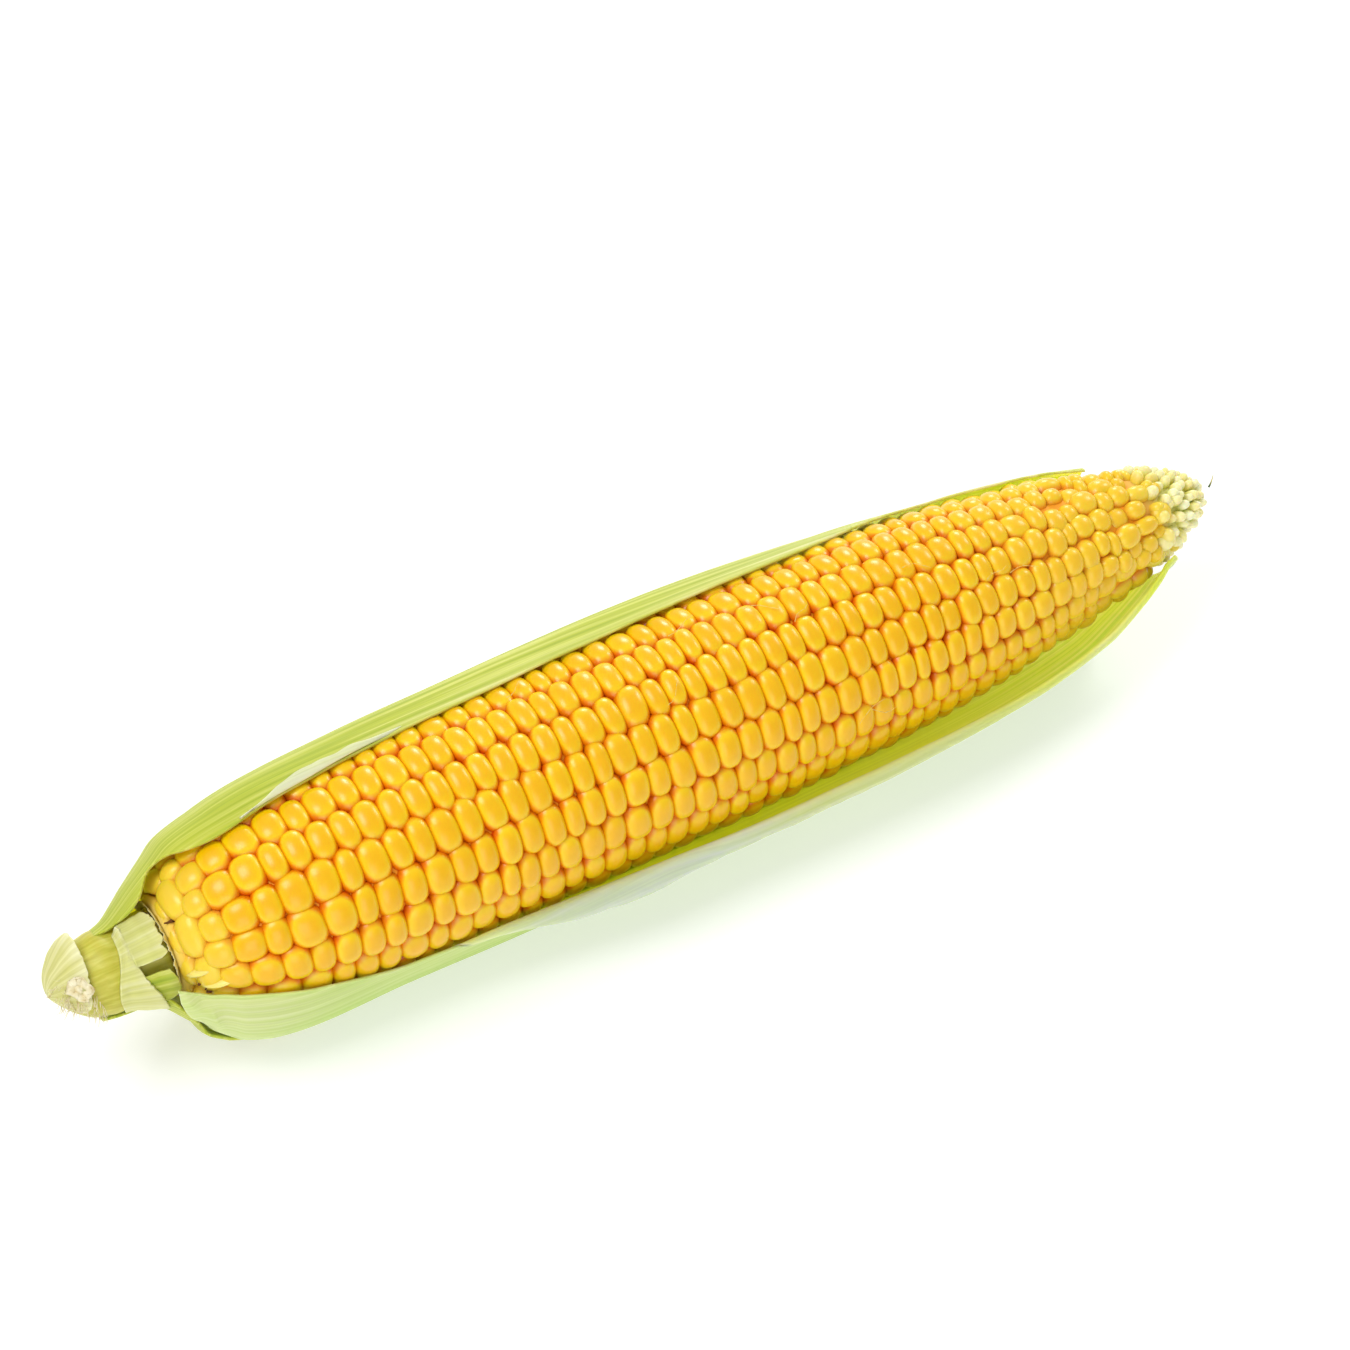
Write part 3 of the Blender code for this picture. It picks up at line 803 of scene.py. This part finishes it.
# %% List the three leaves' stations
FRONT = Husk(
    radii=[
        (-2.4, 13.8), (-1, 14.4), (1, 15.0), (2.4, 16.2), (3.6, 17.6), (6.2, 20.0), (7.8, 21.3),
        (12.3, 23.1), (17, 24.0), (22, 24.4), (32, 24.7), (42, 24.9), (62, 25.3), (90, 25.4),
        (115, 25.2), (135, 24.8), (150, 24.4), (166, 23.4), (176, 22.0), (186, 19.9),
        (191, 18.1), (201, 13.5), (207, 9.6),
    ],
    edges=[
        (-2.4, 95, 105), (-1.8, 84, 103.5), (-0.8, 74, 101), (0.6, 64, 96), (1.8, 57, 92.5),
        (2.8, 47, 91), (3.6, 20, 91), (4.8, -6, 91), (8, -11, 91), (13, -12, 89.5), (20, -12, 85.5),
        (29, -12, 79.5), (40, -12, 72.5), (60, -12, 71), (72, -12, 72), (85, -12, 74.5), (110, -12, 74),
        (150, -12, 74), (175, -10, 74), (190, 0, 75), (197, 8, 76), (203, 24, 77), (207, 68, 78),
    ],
    pinch=[
        (-2.4, 0.0), (-1, 0.03), (1.6, 0.10), (5, 0.17), (10, 0.17), (20, 0.125), (40, 0.11),
        (60, 0.105), (75, 0.08), (90, 0.045), (110, 0.015), (210, 0.0),
    ],
)  # fmt: skip
REAR = Husk(
    radii=[
        (-11, 7.6), (-8, 8.6), (-5, 10.6), (-2.5, 12.4), (3.2, 16.1), (6.1, 18.0), (10.2, 19.3),
        (17, 20.7), (22, 21.5), (30, 22.4), (42, 22.9), (62, 23.5), (92, 23.9), (112, 23.5),
        (131.5, 22.4), (151, 20.5), (171, 18.4), (190, 15.3), (200, 12.8),
    ],
    edges=[
        (-11, -158, -62), (-8, -166, -54), (-4.5, -172, -50), (-1.5, -168, -47), (1.0, -157, -45),
        (2.8, -156, -44), (5, -161, -42), (8, -168, -40), (13, -172, -38), (22, -170, -30),
        (30, -167, -24), (40, -164, -20), (58, -160.5, -16), (78, -157, -15), (98, -154, -15),
        (118, -150.5, -18), (137, -147, -24), (148, -142, -30), (157, -134, -36), (166, -129, -44),
        (185, -128, -62), (200, -115, -100),
    ],
    pinch=[
        (-11, 0.0), (10, 0.0), (30, 0.04), (60, 0.065), (92, 0.08), (112, 0.08), (131, 0.07),
        (151, 0.04), (171, 0.01),
    ],
    pinch_from=0.80,
)  # fmt: skip
UNDER = Husk(
    radii=[
        (-14, 8.3), (-9, 8.5), (-5.5, 8.8), (-2.9, 10.6), (-0.7, 13.2), (1.5, 15.8), (5.4, 19.9),
        (7.8, 21.6),
    ],
    edges=[
        (-14, -34, 36), (-9, -31, 60), (-5.5, -30, 84), (-3.0, -29, 80), (-1, -28, 66),
        (0.6, -28, 54), (2, -27, 45), (3.5, -27, 38), (5.5, -27, 32), (8, -27, 30), (14, -26, 29),
        (40, -23, 25), (110, -21, 24), (155, -14, 20), (193, 4, 12),
    ],
    inside=(FRONT,),
)  # fmt: skip
print("leaves reach", [round(husk.end / MM) for husk in (FRONT, REAR, UNDER)], "mm along the ear")

# %% [markdown]
# ## The front leaf
#
# The leaf in front is an inner one, so it is pale. From a sixth of the way along, its rim
# is folded outwards and down, and shows its whitish inner side as a long band. The fold
# could be a strip of its own, but as the last rows of the same grid it has no seam.

# %% Wrap the front leaf
ALONG, ACROSS = 230, 56
LIP_ROWS = 18
LIP_TURN = [(0, 0), (0.12, 1.4), (0.25, 1.6), (0.4, 0.2), (0.6, -3.0), (0.8, -6.6), (1, -10.5)]
LIP_OUT = [(0, 0), (0.12, 0.6), (0.25, 1.4), (0.4, 2.0), (0.6, 2.5), (0.8, 2.7), (1, 2.6)]
LIP_REACH = [
    (-7, 0.06), (36, 0.10), (46, 0.22), (55, 0.42), (63, 0.68), (76, 0.97), (86, 1.08), (92, 0.80),
    (102, 0.58), (130, 0.5), (150, 0.36), (165, 0.22), (190, 0.10), (210, 0.05),
]  # fmt: skip


def front_point(u, v):
    x = FRONT.x_at(u)
    low, high = FRONT.edge_angles(x)
    high += 0.9 * ripple(x, 0, 5.0, 0.010)
    column = v * (ACROSS + LIP_ROWS)
    if column <= ACROSS:
        inner = column / ACROSS
        degrees = low + (high - low) * inner
        radius = FRONT.radius_at(x, inner) + UNEVENNESS * ripple(x, degrees, 2.0)
        # Paler near the rim and the base; the lower part keeps the greens, partly the leaf's own colour
        # and partly painted shade towards the floor.
        near_rim = smooth_step(inner, 0.60, 0.97) * (1 - smooth_step(x, 0.060, 0.085))
        near_base = 1 - smooth_step(x, 0.002, 0.030)
        pale = min(1.0, 0.1 + 0.45 * near_rim + 0.7 * near_base)
        return round_axis(x, degrees, radius, LAYER), on_leaf(x, degrees), pale
    w = (column - ACROSS) / LIP_ROWS
    ragged = 1 + 0.10 * ripple(x, 0, 9.0, 0.006) + 0.05 * ripple(x, 0, 19.0, 0.0017)
    reach = between(LIP_REACH, x / MM) * ragged
    turned = smooth_step(x, 0.038, 0.075)  # before that the rim is plain
    degrees = high + between(LIP_TURN, w) * reach * turned + 1.5 * w * (1 - turned)
    radius = FRONT.radius_at(x, 1.0) + MM * between(LIP_OUT, w) * reach * turned
    radius += UNEVENNESS * ripple(x, high, 2.0)
    greener = 0.35 * smooth_step(x, 0.095, 0.125) + 0.4 * smooth_step(x, 0.150, 0.190)
    pale = max(0.0, 0.6 + 0.35 * turned - greener)
    on_map = on_leaf(x, high + (14 * reach * turned + 1 - turned) * w)
    return round_axis(x, degrees, radius, LAYER), on_map, pale


front_leaf = sheet(
    "front_husk_leaf", ALONG, ACROSS + LIP_ROWS, front_point, [INNER_HUSK, HUSK_INSIDE],
    "husk_leaf_front",
)  # fmt: skip
print("front leaf:", len(front_leaf.data.polygons), "faces")

# %% [markdown]
# ## The rear leaf
#
# The leaf behind wraps over the top of the ear near the shank, and falls back further
# along. Its rim is pale, and a narrow frayed fold lies along the first third of it. The
# fold is a second, thinner sheet on the rim, because it is much more finely torn.


# %% Wrap the rear leaf
def rear_point(u, v):
    x = REAR.x_at(u)
    high, low = REAR.edge_angles(x)
    high += 0.8 * ripple(x, 0, 15.0, 0.012)
    degrees = high + (low - high) * v
    radius = REAR.radius_at(x, 1 - v) + UNEVENNESS * ripple(x, degrees, 12.0)
    rim = 1 - smooth_step(degrees - high, 0.0, 9.0)  # 1 at the rim
    # Pale at the rim; from 100 mm on the whole leaf pales, partly its own colour and partly painted
    # light shining through it towards the tip.
    pale = 0.05 + 0.55 * rim * smooth_step(x, 0.016, 0.030) + 0.9 * smooth_step(x, 0.10, 0.15)
    return round_axis(x, degrees, radius, LAYER), on_leaf(x, degrees), min(1.0, pale)


rear_leaf = sheet(
    "rear_husk_leaf", ALONG, 90, rear_point, [OUTER_HUSK, HUSK_INSIDE], "husk_leaf_rear"
)


def fold_point(u, v):
    x = 0.019 + 0.042 * u
    high, low = REAR.edge_angles(x)
    width = 6.5 * smooth_step(u, 0.0, 0.30) * (1 - smooth_step(u, 0.35, 1.0)) + 0.25
    frayed = 2.0 * ripple(x, 0, 31.0, 0.004)
    frayed *= smooth_step(u, 0.0, 0.2) * (1 - smooth_step(u, 0.7, 1.0))
    rim = high + 0.8 * ripple(x, 0, 15.0, 0.012)
    degrees = rim - 0.4 + 1.8 * smooth_step(u, 0.45, 0.9) + (width + frayed) * v
    share = max(0.0, (degrees - high) / (low - high))
    radius = REAR.radius_at(x, 1 - share) + 0.0004 * (1 + math.sin(math.pi * v))
    radius -= 0.0012 * smooth_step(u, 0.55, 1.0)  # its end is tucked in
    return round_axis(x, degrees, radius), on_leaf(x, degrees, 1.0), 0.8 - 0.4 * v


sheet(
    "rear_rim_fold", 90, 8, fold_point, [FRAYED_RIM], "husk_leaf_rear", 0.0002
)
print("rear leaf:", len(rear_leaf.data.polygons), "faces")

# %% [markdown]
# ## The under leaf
#
# One more leaf, greener because it was the outermost, lies under the front one, between
# the ear and the floor. It is kept clear of the front leaf by the same rule that keeps the
# front leaf clear of the kernels.


# %% Wrap the under leaf
def under_point(u, v):
    x = UNDER.x_at(u)
    low, high = UNDER.edge_angles(x)
    high += 0.8 * ripple(x, 0, 25.0, 0.02)
    degrees = low + (high - low) * v
    return round_axis(x, degrees, UNDER.radius_at(x)), on_leaf(x, degrees, 2.0), 0.0


under_leaf = sheet(
    "under_husk_leaf", ALONG, 60, under_point, [OUTER_HUSK], "husk_leaf_under"
)
print("under leaf:", len(under_leaf.data.polygons), "faces")

# %% [markdown]
# ## The shank
#
# The shank is the stalk of the ear: smooth, moist and yellow-green, with fine fibres along
# it. It is a turned body with a swollen ring, where the husk grew from, and a rounded cut
# end. The fibres are in the material, because they hardly stand out from the surface.


# %% Turn the shank
def shank_material():
    made, shader = new_material(
        "fresh_green_stalk", roughness=0.42, ior=1.42, Subsurface_Weight=0.2, Subsurface_Scale=0.001,
    )  # fmt: skip
    # Fibres 0.7 mm apart and 15 mm long.
    place = add_node(made, "ShaderNodeTexCoord").outputs["Object"]
    lines = add_node(made, "ShaderNodeMapping", {"Vector": place, "Scale": (60, 1400, 1400)})
    pattern = {"Vector": lines.outputs["Vector"], "Scale": 1.0, "Detail": 3.0}
    fibre = add_node(made, "ShaderNodeTexNoise", pattern).outputs["Fac"]
    stops = [(0.3, "#B4AE34"), (0.5, "#C1BB44"), (0.7, "#CEC95A")]
    tint = add_node(made, "ShaderNodeValToRGB", {"Fac": fibre}, stops).outputs["Color"]
    bump = add_node(made, "ShaderNodeBump", {"Height": fibre, "Strength": 0.10, "Distance": 0.0002})
    connect(made, tint, shader.inputs["Base Color"])
    connect(made, bump.outputs["Normal"], shader.inputs["Normal"])
    return made


CUT_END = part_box("shank")[0].x - BASE_X
SHANK_PROFILE = [
    (0.0, 0.0), (0.0002, 0.17), (0.0008, 0.38), (0.0018, 0.60), (0.0032, 0.78), (0.0050, 0.92),
    (0.0070, 0.99), (0.0085, 1.01), (0.0100, 1.07), (0.0112, 1.08), (0.0124, 1.04), (0.0140, 1.0),
    (0.0170, 1.02), (0.0200, 1.06), (0.0219, 1.10), (0.0219, 0.0),
]  # fmt: skip
SLANT = 0.0024
SLANT_AT = 54  # degrees


def slanted(x, degrees, radius):
    """The cut is not square: it comes further along the shank on its lower front side."""
    share = min(1.0, radius / SHANK_RADIUS) * max(0.0, math.cos(math.radians(degrees - SLANT_AT)))
    return x + SLANT * share * (1 - smooth_step(x, CUT_END, CUT_END + 0.009))


shank = turned_body([(CUT_END + x, SHANK_RADIUS * r) for x, r in SHANK_PROFILE], 64)
for vertex in shank.verts:
    x, y, z = vertex.co.x - BASE_X, vertex.co.y - AXIS.y, vertex.co.z - AXIS.z
    vertex.co.x = BASE_X + slanted(x, math.degrees(math.atan2(-y, -z)), math.hypot(y, z))
round_off(finish_piece("shank_stalk", shank, [shank_material()], "shank"))
print(f"the cut end is {-CUT_END / MM:.1f} mm from the kernels")

# %% [markdown]
# ## Torn leaf bases
#
# Where husk leaves were torn off, short plates are left round the shank. They flare away
# from it and end in a ragged edge. Each is described by how far it reaches and flares along
# its width. The sheath round the cut end is the same, but dry.


# %% Make the torn plates
def torn_plate(name, stations, root, radius, materials, stands_for, seed, pale=0.5, torn=0.5):
    """stations: (degrees, where it ends along the axis, how far out it ends), all but the
    degrees in millimetres. root: where it starts, as (degrees, x) stations or one number."""
    ends = [(degrees, x) for degrees, x, _ in stations]
    flare = [(degrees, out) for degrees, _, out in stations]
    first, last = stations[0][0], stations[-1][0]

    def place(u, v):
        degrees = first + (last - first) * v
        ragged = noise.noise(Vector((degrees * 0.13, seed, 0)))
        ragged += noise.noise(Vector((degrees * 0.4, seed, 3)))
        begin = between(root, degrees) if isinstance(root, list) else root
        x = MM * (begin + (between(ends, degrees) - begin) * u + torn * ragged * u**4)
        out = MM * between(flare, degrees) * smooth_step(u, 0.0, 1.2)
        uneven = 0.0003 * noise.noise(Vector((degrees * 0.05, u * 3, seed)))
        point = round_axis(x, degrees, radius * MM + out + uneven)
        bleached = min(1.0, pale + 0.35 * smooth_step(u, 0.5, 1.0))
        return point, on_leaf(x, degrees, seed, SHANK_UNROLLED_AT), bleached

    return sheet(name, 24, 60, place, materials, stands_for, 0.0006)


torn_plate(
    "torn_base_front",
    [
        (50, -3.6, 1.8), (62, -3.2, 2.6), (76, -3.6, 3.0), (95, -4.6, 2.7), (115, -6.0, 1.8),
        (143, -7.0, 0.9), (165, -7.0, 1.2), (186, -7.4, 1.7),
    ],
    [(50, -10.0), (76, -10.8), (95, -11.2), (115, -10.8), (143, -9.2), (165, -8.6), (186, -8.2)], 8.2,
    [TORN_HUSK], "husk_stub_front", seed=1.0, torn=0.35,
)  # fmt: skip
torn_plate(
    "torn_base_upper",
    [
        (134, -2.6, 1.0), (138, -1.2, 1.4), (147, -1.6, 0.9), (152, -1.0, 1.3), (163, -1.3, 1.4),
        (176, -1.0, 1.0), (190, -2.0, 0.6),
    ],
    -7.0, 9.3, [TORN_HUSK], "husk_stub_upper", seed=2.0, torn=0.25, pale=0.3,
)  # fmt: skip
torn_plate(
    "torn_base_lower",
    [(80, -3.0, 1.0), (90, -1.0, 1.4), (108, -1.0, 1.4), (120, -1.8, 1.0)],
    -7.0, 9.2, [OUTER_HUSK], "husk_stub_lower", seed=3.0, pale=0.0, torn=0.2,
)  # fmt: skip
print("three torn leaf bases")

# %% [markdown]
# ## Chaff
#
# Round the edge of the base, papery scales that held the first kernels stick out. They are
# too small to tell apart, so they are one thin ring with an uneven edge.

# %% Make the chaff
CHAFF = husk_material(
    "papery_chaff",
    greens=("#ECD870", "#F0E080", "#F4E890"),
    pales=("#F0E498", "#F4EAA8", "#F8F0BC"),
    roughness=0.6, relief=0.1, glow=0.0,
)  # fmt: skip


def chaff_point(u, v):
    degrees = 360 * v
    way = Vector((math.cos(math.radians(degrees)), math.sin(math.radians(degrees)), 0))
    uneven = noise.noise(way * 7) + 0.6 * noise.noise(way * 19 + Vector((0, 0, 4)))
    x = 0.1 - (0.6 + 0.5 * uneven) * u
    radius = BASE_RADIUS / MM - 2.6 + (1.5 + 0.4 * uneven) * u
    on_map = on_leaf(x * MM, degrees, 5.0, SHANK_UNROLLED_AT)
    return round_axis(x * MM, degrees, radius * MM), on_map, u


sheet("chaff_frill", 8, 260, chaff_point, [CHAFF], "kernelled_cob", 0.00015)
print(f"the frill starts at a radius of {BASE_RADIUS / MM - 2.6:.1f} mm")

# %% [markdown]
# Two scales have grown long, and a few flecks of them have died and turned brown. At this
# size a squashed kernel passes for a scale, so they are copies of the template.

# %% Add scales and flecks
scales, layers = new_row()
for along, degrees, length, width in ((0.0012, 107, 0.0060, 17), (0.0040, 98, 0.0054, 12)):
    add_kernel(
        scales, layers, along=surface_at(along), degrees=degrees, length=length, width=width,
        sunk=-0.0002, tone=0.0, unripe=0.62, square=2.1, dome=2.0, lean=1.4,
    )  # fmt: skip
round_off(finish_piece("long_scales", scales, [KERNEL_SKIN], "kernelled_cob"))

# Nearly black spots 0.5 mm across on brown.
DEAD_CHAFF = patchy_material("dead_brown_chaff", 0.8, 2000.0, [(0.35, "#3A2208"), (0.6, "#7C4A14")])
flecks, layers = new_row()
for along, degrees, length, width in (
    (0.0016, 97, 0.0011, 3.5), (0.0028, 90, 0.0014, 3.0), (0.0024, 93, 0.0007, 2.0),
    (0.0001, 165, 0.0008, 3.0),
):  # fmt: skip
    add_kernel(
        flecks, layers, along=surface_at(along), degrees=degrees, length=length, width=width,
        sunk=0.0001, tone=0.0, unripe=0.0, square=2.0, dome=2.0, lean=luck.normal(0, 0.8),
    )  # fmt: skip
finish_piece("dead_flecks", flecks, [DEAD_CHAFF], "kernelled_cob")
print("two long scales and four flecks")

# %% [markdown]
# ## The dry sheath and its fibres
#
# The last sheath round the cut end has dried. It closes over the rounded cut, flares at its
# mouth, and frays into fibres below. A circle's formula gives the cut its round shape, and
# noise makes the sheath's mouth ragged.


# %% Make the dry sheath
SHEATH = husk_material(
    "dry_sheath_tissue",
    greens=("#C6C46A", "#D2CF7C", "#DEDA90"),
    pales=("#DCD898", "#E6E2AA", "#EFECC0"),
    roughness=0.62, relief=0.15,
)
SHEATH_MOUTH = [  # (degrees, millimetres along the axis)
    (92, -18.5), (112, -16.8), (135, -15.8), (150, -15.2), (170, -14.9), (190, -14.9),
    (215, -15.4), (245, -17.5),
]  # fmt: skip
SHEATH_FLARE = [(92, 0.1), (140, 0.5), (170, 1.2), (190, 2.3), (205, 2.3), (225, 1.2), (245, 0.3)]
SHEATH_START = CUT_END / MM - 0.15


def rounded_cut(x):
    """Radius of the sheath at a place near the cut end, in millimetres like x."""
    return 0.5 + 7.4 * math.sqrt(max(0.0, 1 - (1 - min(1.0, (x - SHEATH_START) / 7.0)) ** 2))


def sheath_point(u, v):
    degrees = 92 + 153 * v
    ragged = 0.35 * noise.noise(Vector((degrees * 0.25, 4.0, 0)))
    ragged += 0.15 * noise.noise(Vector((degrees, 4.0, 3)))
    x = SHEATH_START + (between(SHEATH_MOUTH, degrees) + ragged - SHEATH_START) * u**1.25
    out = between(SHEATH_FLARE, degrees) * smooth_step(u, 0.35, 1.15)
    uneven = 0.25 * noise.noise(Vector((degrees * 0.06, u * 4, 7.0)))
    radius = MM * rounded_cut(x)
    point = round_axis(slanted(x * MM, degrees, radius), degrees, radius + (out + uneven) * MM)
    on_map = on_leaf(x * MM, degrees, 4.0, SHANK_UNROLLED_AT)
    return point, on_map, 0.2 + 0.6 * smooth_step(u, 0.6, 1.0)


sheet("dry_sheath", 40, 60, sheath_point, [SHEATH], "dry_sheath_cuff", 0.0006)
print("the sheath reaches", SHEATH_MOUTH[4][1], "mm on top")

# %% [markdown]
# Each fibre is a thin cone, bent a little and hung from the sheath's lower edge. Curves
# with a bevel would look the same, but cones can all be in one mesh.


# %% Add the fibres
def fibre(shape, start, end, thickness, bend):
    """Adds one thin, tapered, bent fibre to the bmesh."""
    run = end - start
    made = bmesh.ops.create_cone(
        shape, segments=5, radius1=thickness, radius2=thickness * 0.25, depth=1.0, cap_ends=True,
        matrix=Matrix.Translation((0, 0, 0.5)),
    )  # fmt: skip
    edges = {edge for vertex in made["verts"] for edge in vertex.link_edges}
    sides = [edge for edge in edges if abs(edge.verts[0].co.z - edge.verts[1].co.z) > 0.5]
    bmesh.ops.subdivide_edges(shape, edges=sides, cuts=5)
    fresh = [vertex for vertex in shape.verts if not vertex.tag]
    turn = run.to_track_quat("Z", "Y")
    for vertex in fresh:
        share = vertex.co.z
        flat = Vector((vertex.co.x, vertex.co.y, 0))
        vertex.co = start + run * share + turn @ flat + bend * math.sin(math.pi * share)
        vertex.tag = True


def on_cut(x, degrees):
    """A point of the rounded cut end, at a place along the axis in metres."""
    radius = MM * rounded_cut(x / MM)
    return round_axis(slanted(x, degrees, radius), degrees, radius)


FIBRES = 90
CUT_MIDDLE = Vector((CUT_END + BASE_X + 0.006, AXIS.y, AXIS.z))
fibres = bmesh.new()
for number in range(FIBRES):
    share = luck.uniform(0, 1)
    start = on_cut(CUT_END + MM * (0.2 + 7.0 * share), luck.uniform(88, 128) - 8 * share)
    length = MM * luck.uniform(1.0, 2.6)
    fall = Vector((luck.normal(-0.1, 0.18), -0.35 + luck.normal(0, 0.12), -1.0)).normalized()
    if number % 3 == 0:  # every third one stands out from the cut
        start = on_cut(CUT_END + MM * luck.uniform(0.2, 2.2), luck.uniform(85, 165))
        fall = (start - CUT_MIDDLE).normalized() + Vector((-0.3, 0, -0.2))
        length *= 0.7
    bend = MM * Vector((luck.normal(0, 0.25), -0.5, luck.normal(0, 0.1)))
    fibre(fibres, start, start + fall * length, MM * luck.uniform(0.05, 0.10), bend)
bmesh.ops.recalc_face_normals(fibres, faces=fibres.faces)

# Tan patches 1.5 mm across on bleached fibre.
STRAW = patchy_material(
    "dry_plant_fibre", 0.55, 700.0, [(0.25, "#A9803E"), (0.42, "#DED0A0"), (0.7, "#EDE6C6")]
)
finish_piece("sheath_fibres", fibres, [STRAW], "dry_sheath_cuff")
print(FIBRES, "fibres")

# %% [markdown]
# A bit of the sheath has curled up and dried into a small crumpled knot: a round sheet that
# rings of ridges and noise push up and down.

# %% Crumple the dried knot
knot = bmesh.new()
bmesh.ops.create_grid(knot, x_segments=28, y_segments=28, size=1.0)
KNOT_AT = (CUT_END + 0.0042, 136.0)
for vertex in knot.verts:
    p, q = vertex.co.x, vertex.co.y
    square = max(abs(p), abs(q))
    length = math.hypot(p, q) or 1.0
    p, q = p * square / length, q * square / length
    angle = math.atan2(q, p)
    edge = 2.5 + 0.7 * noise.noise(Vector((math.cos(angle) * 1.5, math.sin(angle) * 1.5, 2.0)))
    ridge = 0.28 * math.sin(square * 13 + 1.2 * noise.noise(Vector((p * 2, q * 2, 5))))
    crumple = 0.35 * noise.noise(Vector((p * 4.5, q * 4.5, 8.0)))
    x = KNOT_AT[0] + p * edge * 0.85 * MM
    degrees = KNOT_AT[1] - math.degrees(q * edge / 8.0)
    height = rounded_cut(x / MM) + 0.25 - 0.5 * (1 - square)
    height += ridge * (1 - 0.5 * square) + crumple
    vertex.co = round_axis(slanted(x, degrees, height * MM), degrees, height * MM)
thicken(finish_piece("dried_knot", knot, [STRAW], "dry_sheath_cuff"), 0.0004)
print(f"the knot is {-KNOT_AT[0] / MM:.1f} mm from the kernels")

# %% [markdown]
# ## Silk
#
# Silk runs under the husk to every kernel. A few dried threads still lie across the rows,
# and the end of one stands clear of the tip. A thread is a chain of the same bent cones
# that the sheath's fibres are made of.


# %% Lay the silk
def thread(shape, stations, thickness):
    """A thin tapered thread through (x in mm, degrees, radius in mm) stations."""
    points = [round_axis(x * MM, degrees, radius * MM) for x, degrees, radius in stations]
    for start, end in zip(points, points[1:]):
        fibre(shape, start, end, thickness, MM * Vector((0.0, 0.0, 0.05)))


# Both have paler stretches about 1 mm long.
FRESH_SILK = patchy_material("fresh_green_silk", 0.45, 900.0, [(0.3, "#3F5A1C"), (0.7, "#D8C878")])
DRY_SILK = patchy_material("dried_silk", 0.45, 900.0, [(0.3, "#F4C050"), (0.7, "#D8C878")])

tip_silk = bmesh.new()
silk_low, silk_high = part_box("silk_thread")
silk_root = Vector((silk_low.x + 0.0004, (silk_low.y + silk_high.y) / 2, AXIS.z + 0.0004))
silk_end = silk_root + MM * Vector((1.4, 0.9, 1.9))
fibre(tip_silk, silk_root, silk_end, 0.00022, MM * Vector((0.15, 0, -0.1)))
finish_piece("tip_silk", tip_silk, [FRESH_SILK], "silk_thread")

loose_silk = bmesh.new()
for x, degrees, length, sweep in (
    (97, 152, 4.0, 9), (104, 186, 6.5, 5), (119, 184, 6.0, -8), (131, 105, 6.0, 7),
    (134, 107, 5.0, -5), (164, 146, 5.0, 5), (169, 146, 6.0, -3), (126, 165, 4.0, 8),
    (72, 190, 4.0, 6), (150, 172, 5.0, -6),
):  # fmt: skip
    stations = []
    for share in (0.0, 0.25, 0.5, 0.75, 1.0):
        way = x + length * share
        at = degrees + sweep * share + 1.5 * math.sin(5 * share + x)
        stations.append((way, at, ear_radius(way * MM) / MM + 0.12 + 0.1 * math.sin(3 * share)))
    thread(loose_silk, stations, 0.00009)
finish_piece("loose_silk", loose_silk, [DRY_SILK], "kernelled_cob")
print("ten loose threads and one at the tip")

# %% [markdown]
# ## The floor
#
# A plain pale floor, a little below the lowest leaf. It is a light table: it glows a little,
# so the shadows on it stay light.

# %% Lay the floor and finish
floor_shape = bmesh.new()
bmesh.ops.create_grid(floor_shape, x_segments=2, y_segments=2, size=3.0)
bmesh.ops.translate(floor_shape, verts=floor_shape.verts, vec=(0, 0, -0.0002))
floor_mesh = bpy.data.meshes.new("studio_floor")
floor_shape.to_mesh(floor_mesh)
floor_shape.free()
floor_paint, floor_shader = new_material("light_table_acrylic", roughness=0.9, ior=1.45)
floor_shader.inputs["Base Color"].default_value = colour("#CCCCCC")
floor_shader.inputs["Emission Color"].default_value = colour("#FBFBFA")
floor_shader.inputs["Emission Strength"].default_value = 0.50
floor_mesh.materials.append(floor_paint)
floor = bpy.data.objects.new("studio_floor", floor_mesh)
bpy.context.scene.collection.objects.link(floor)
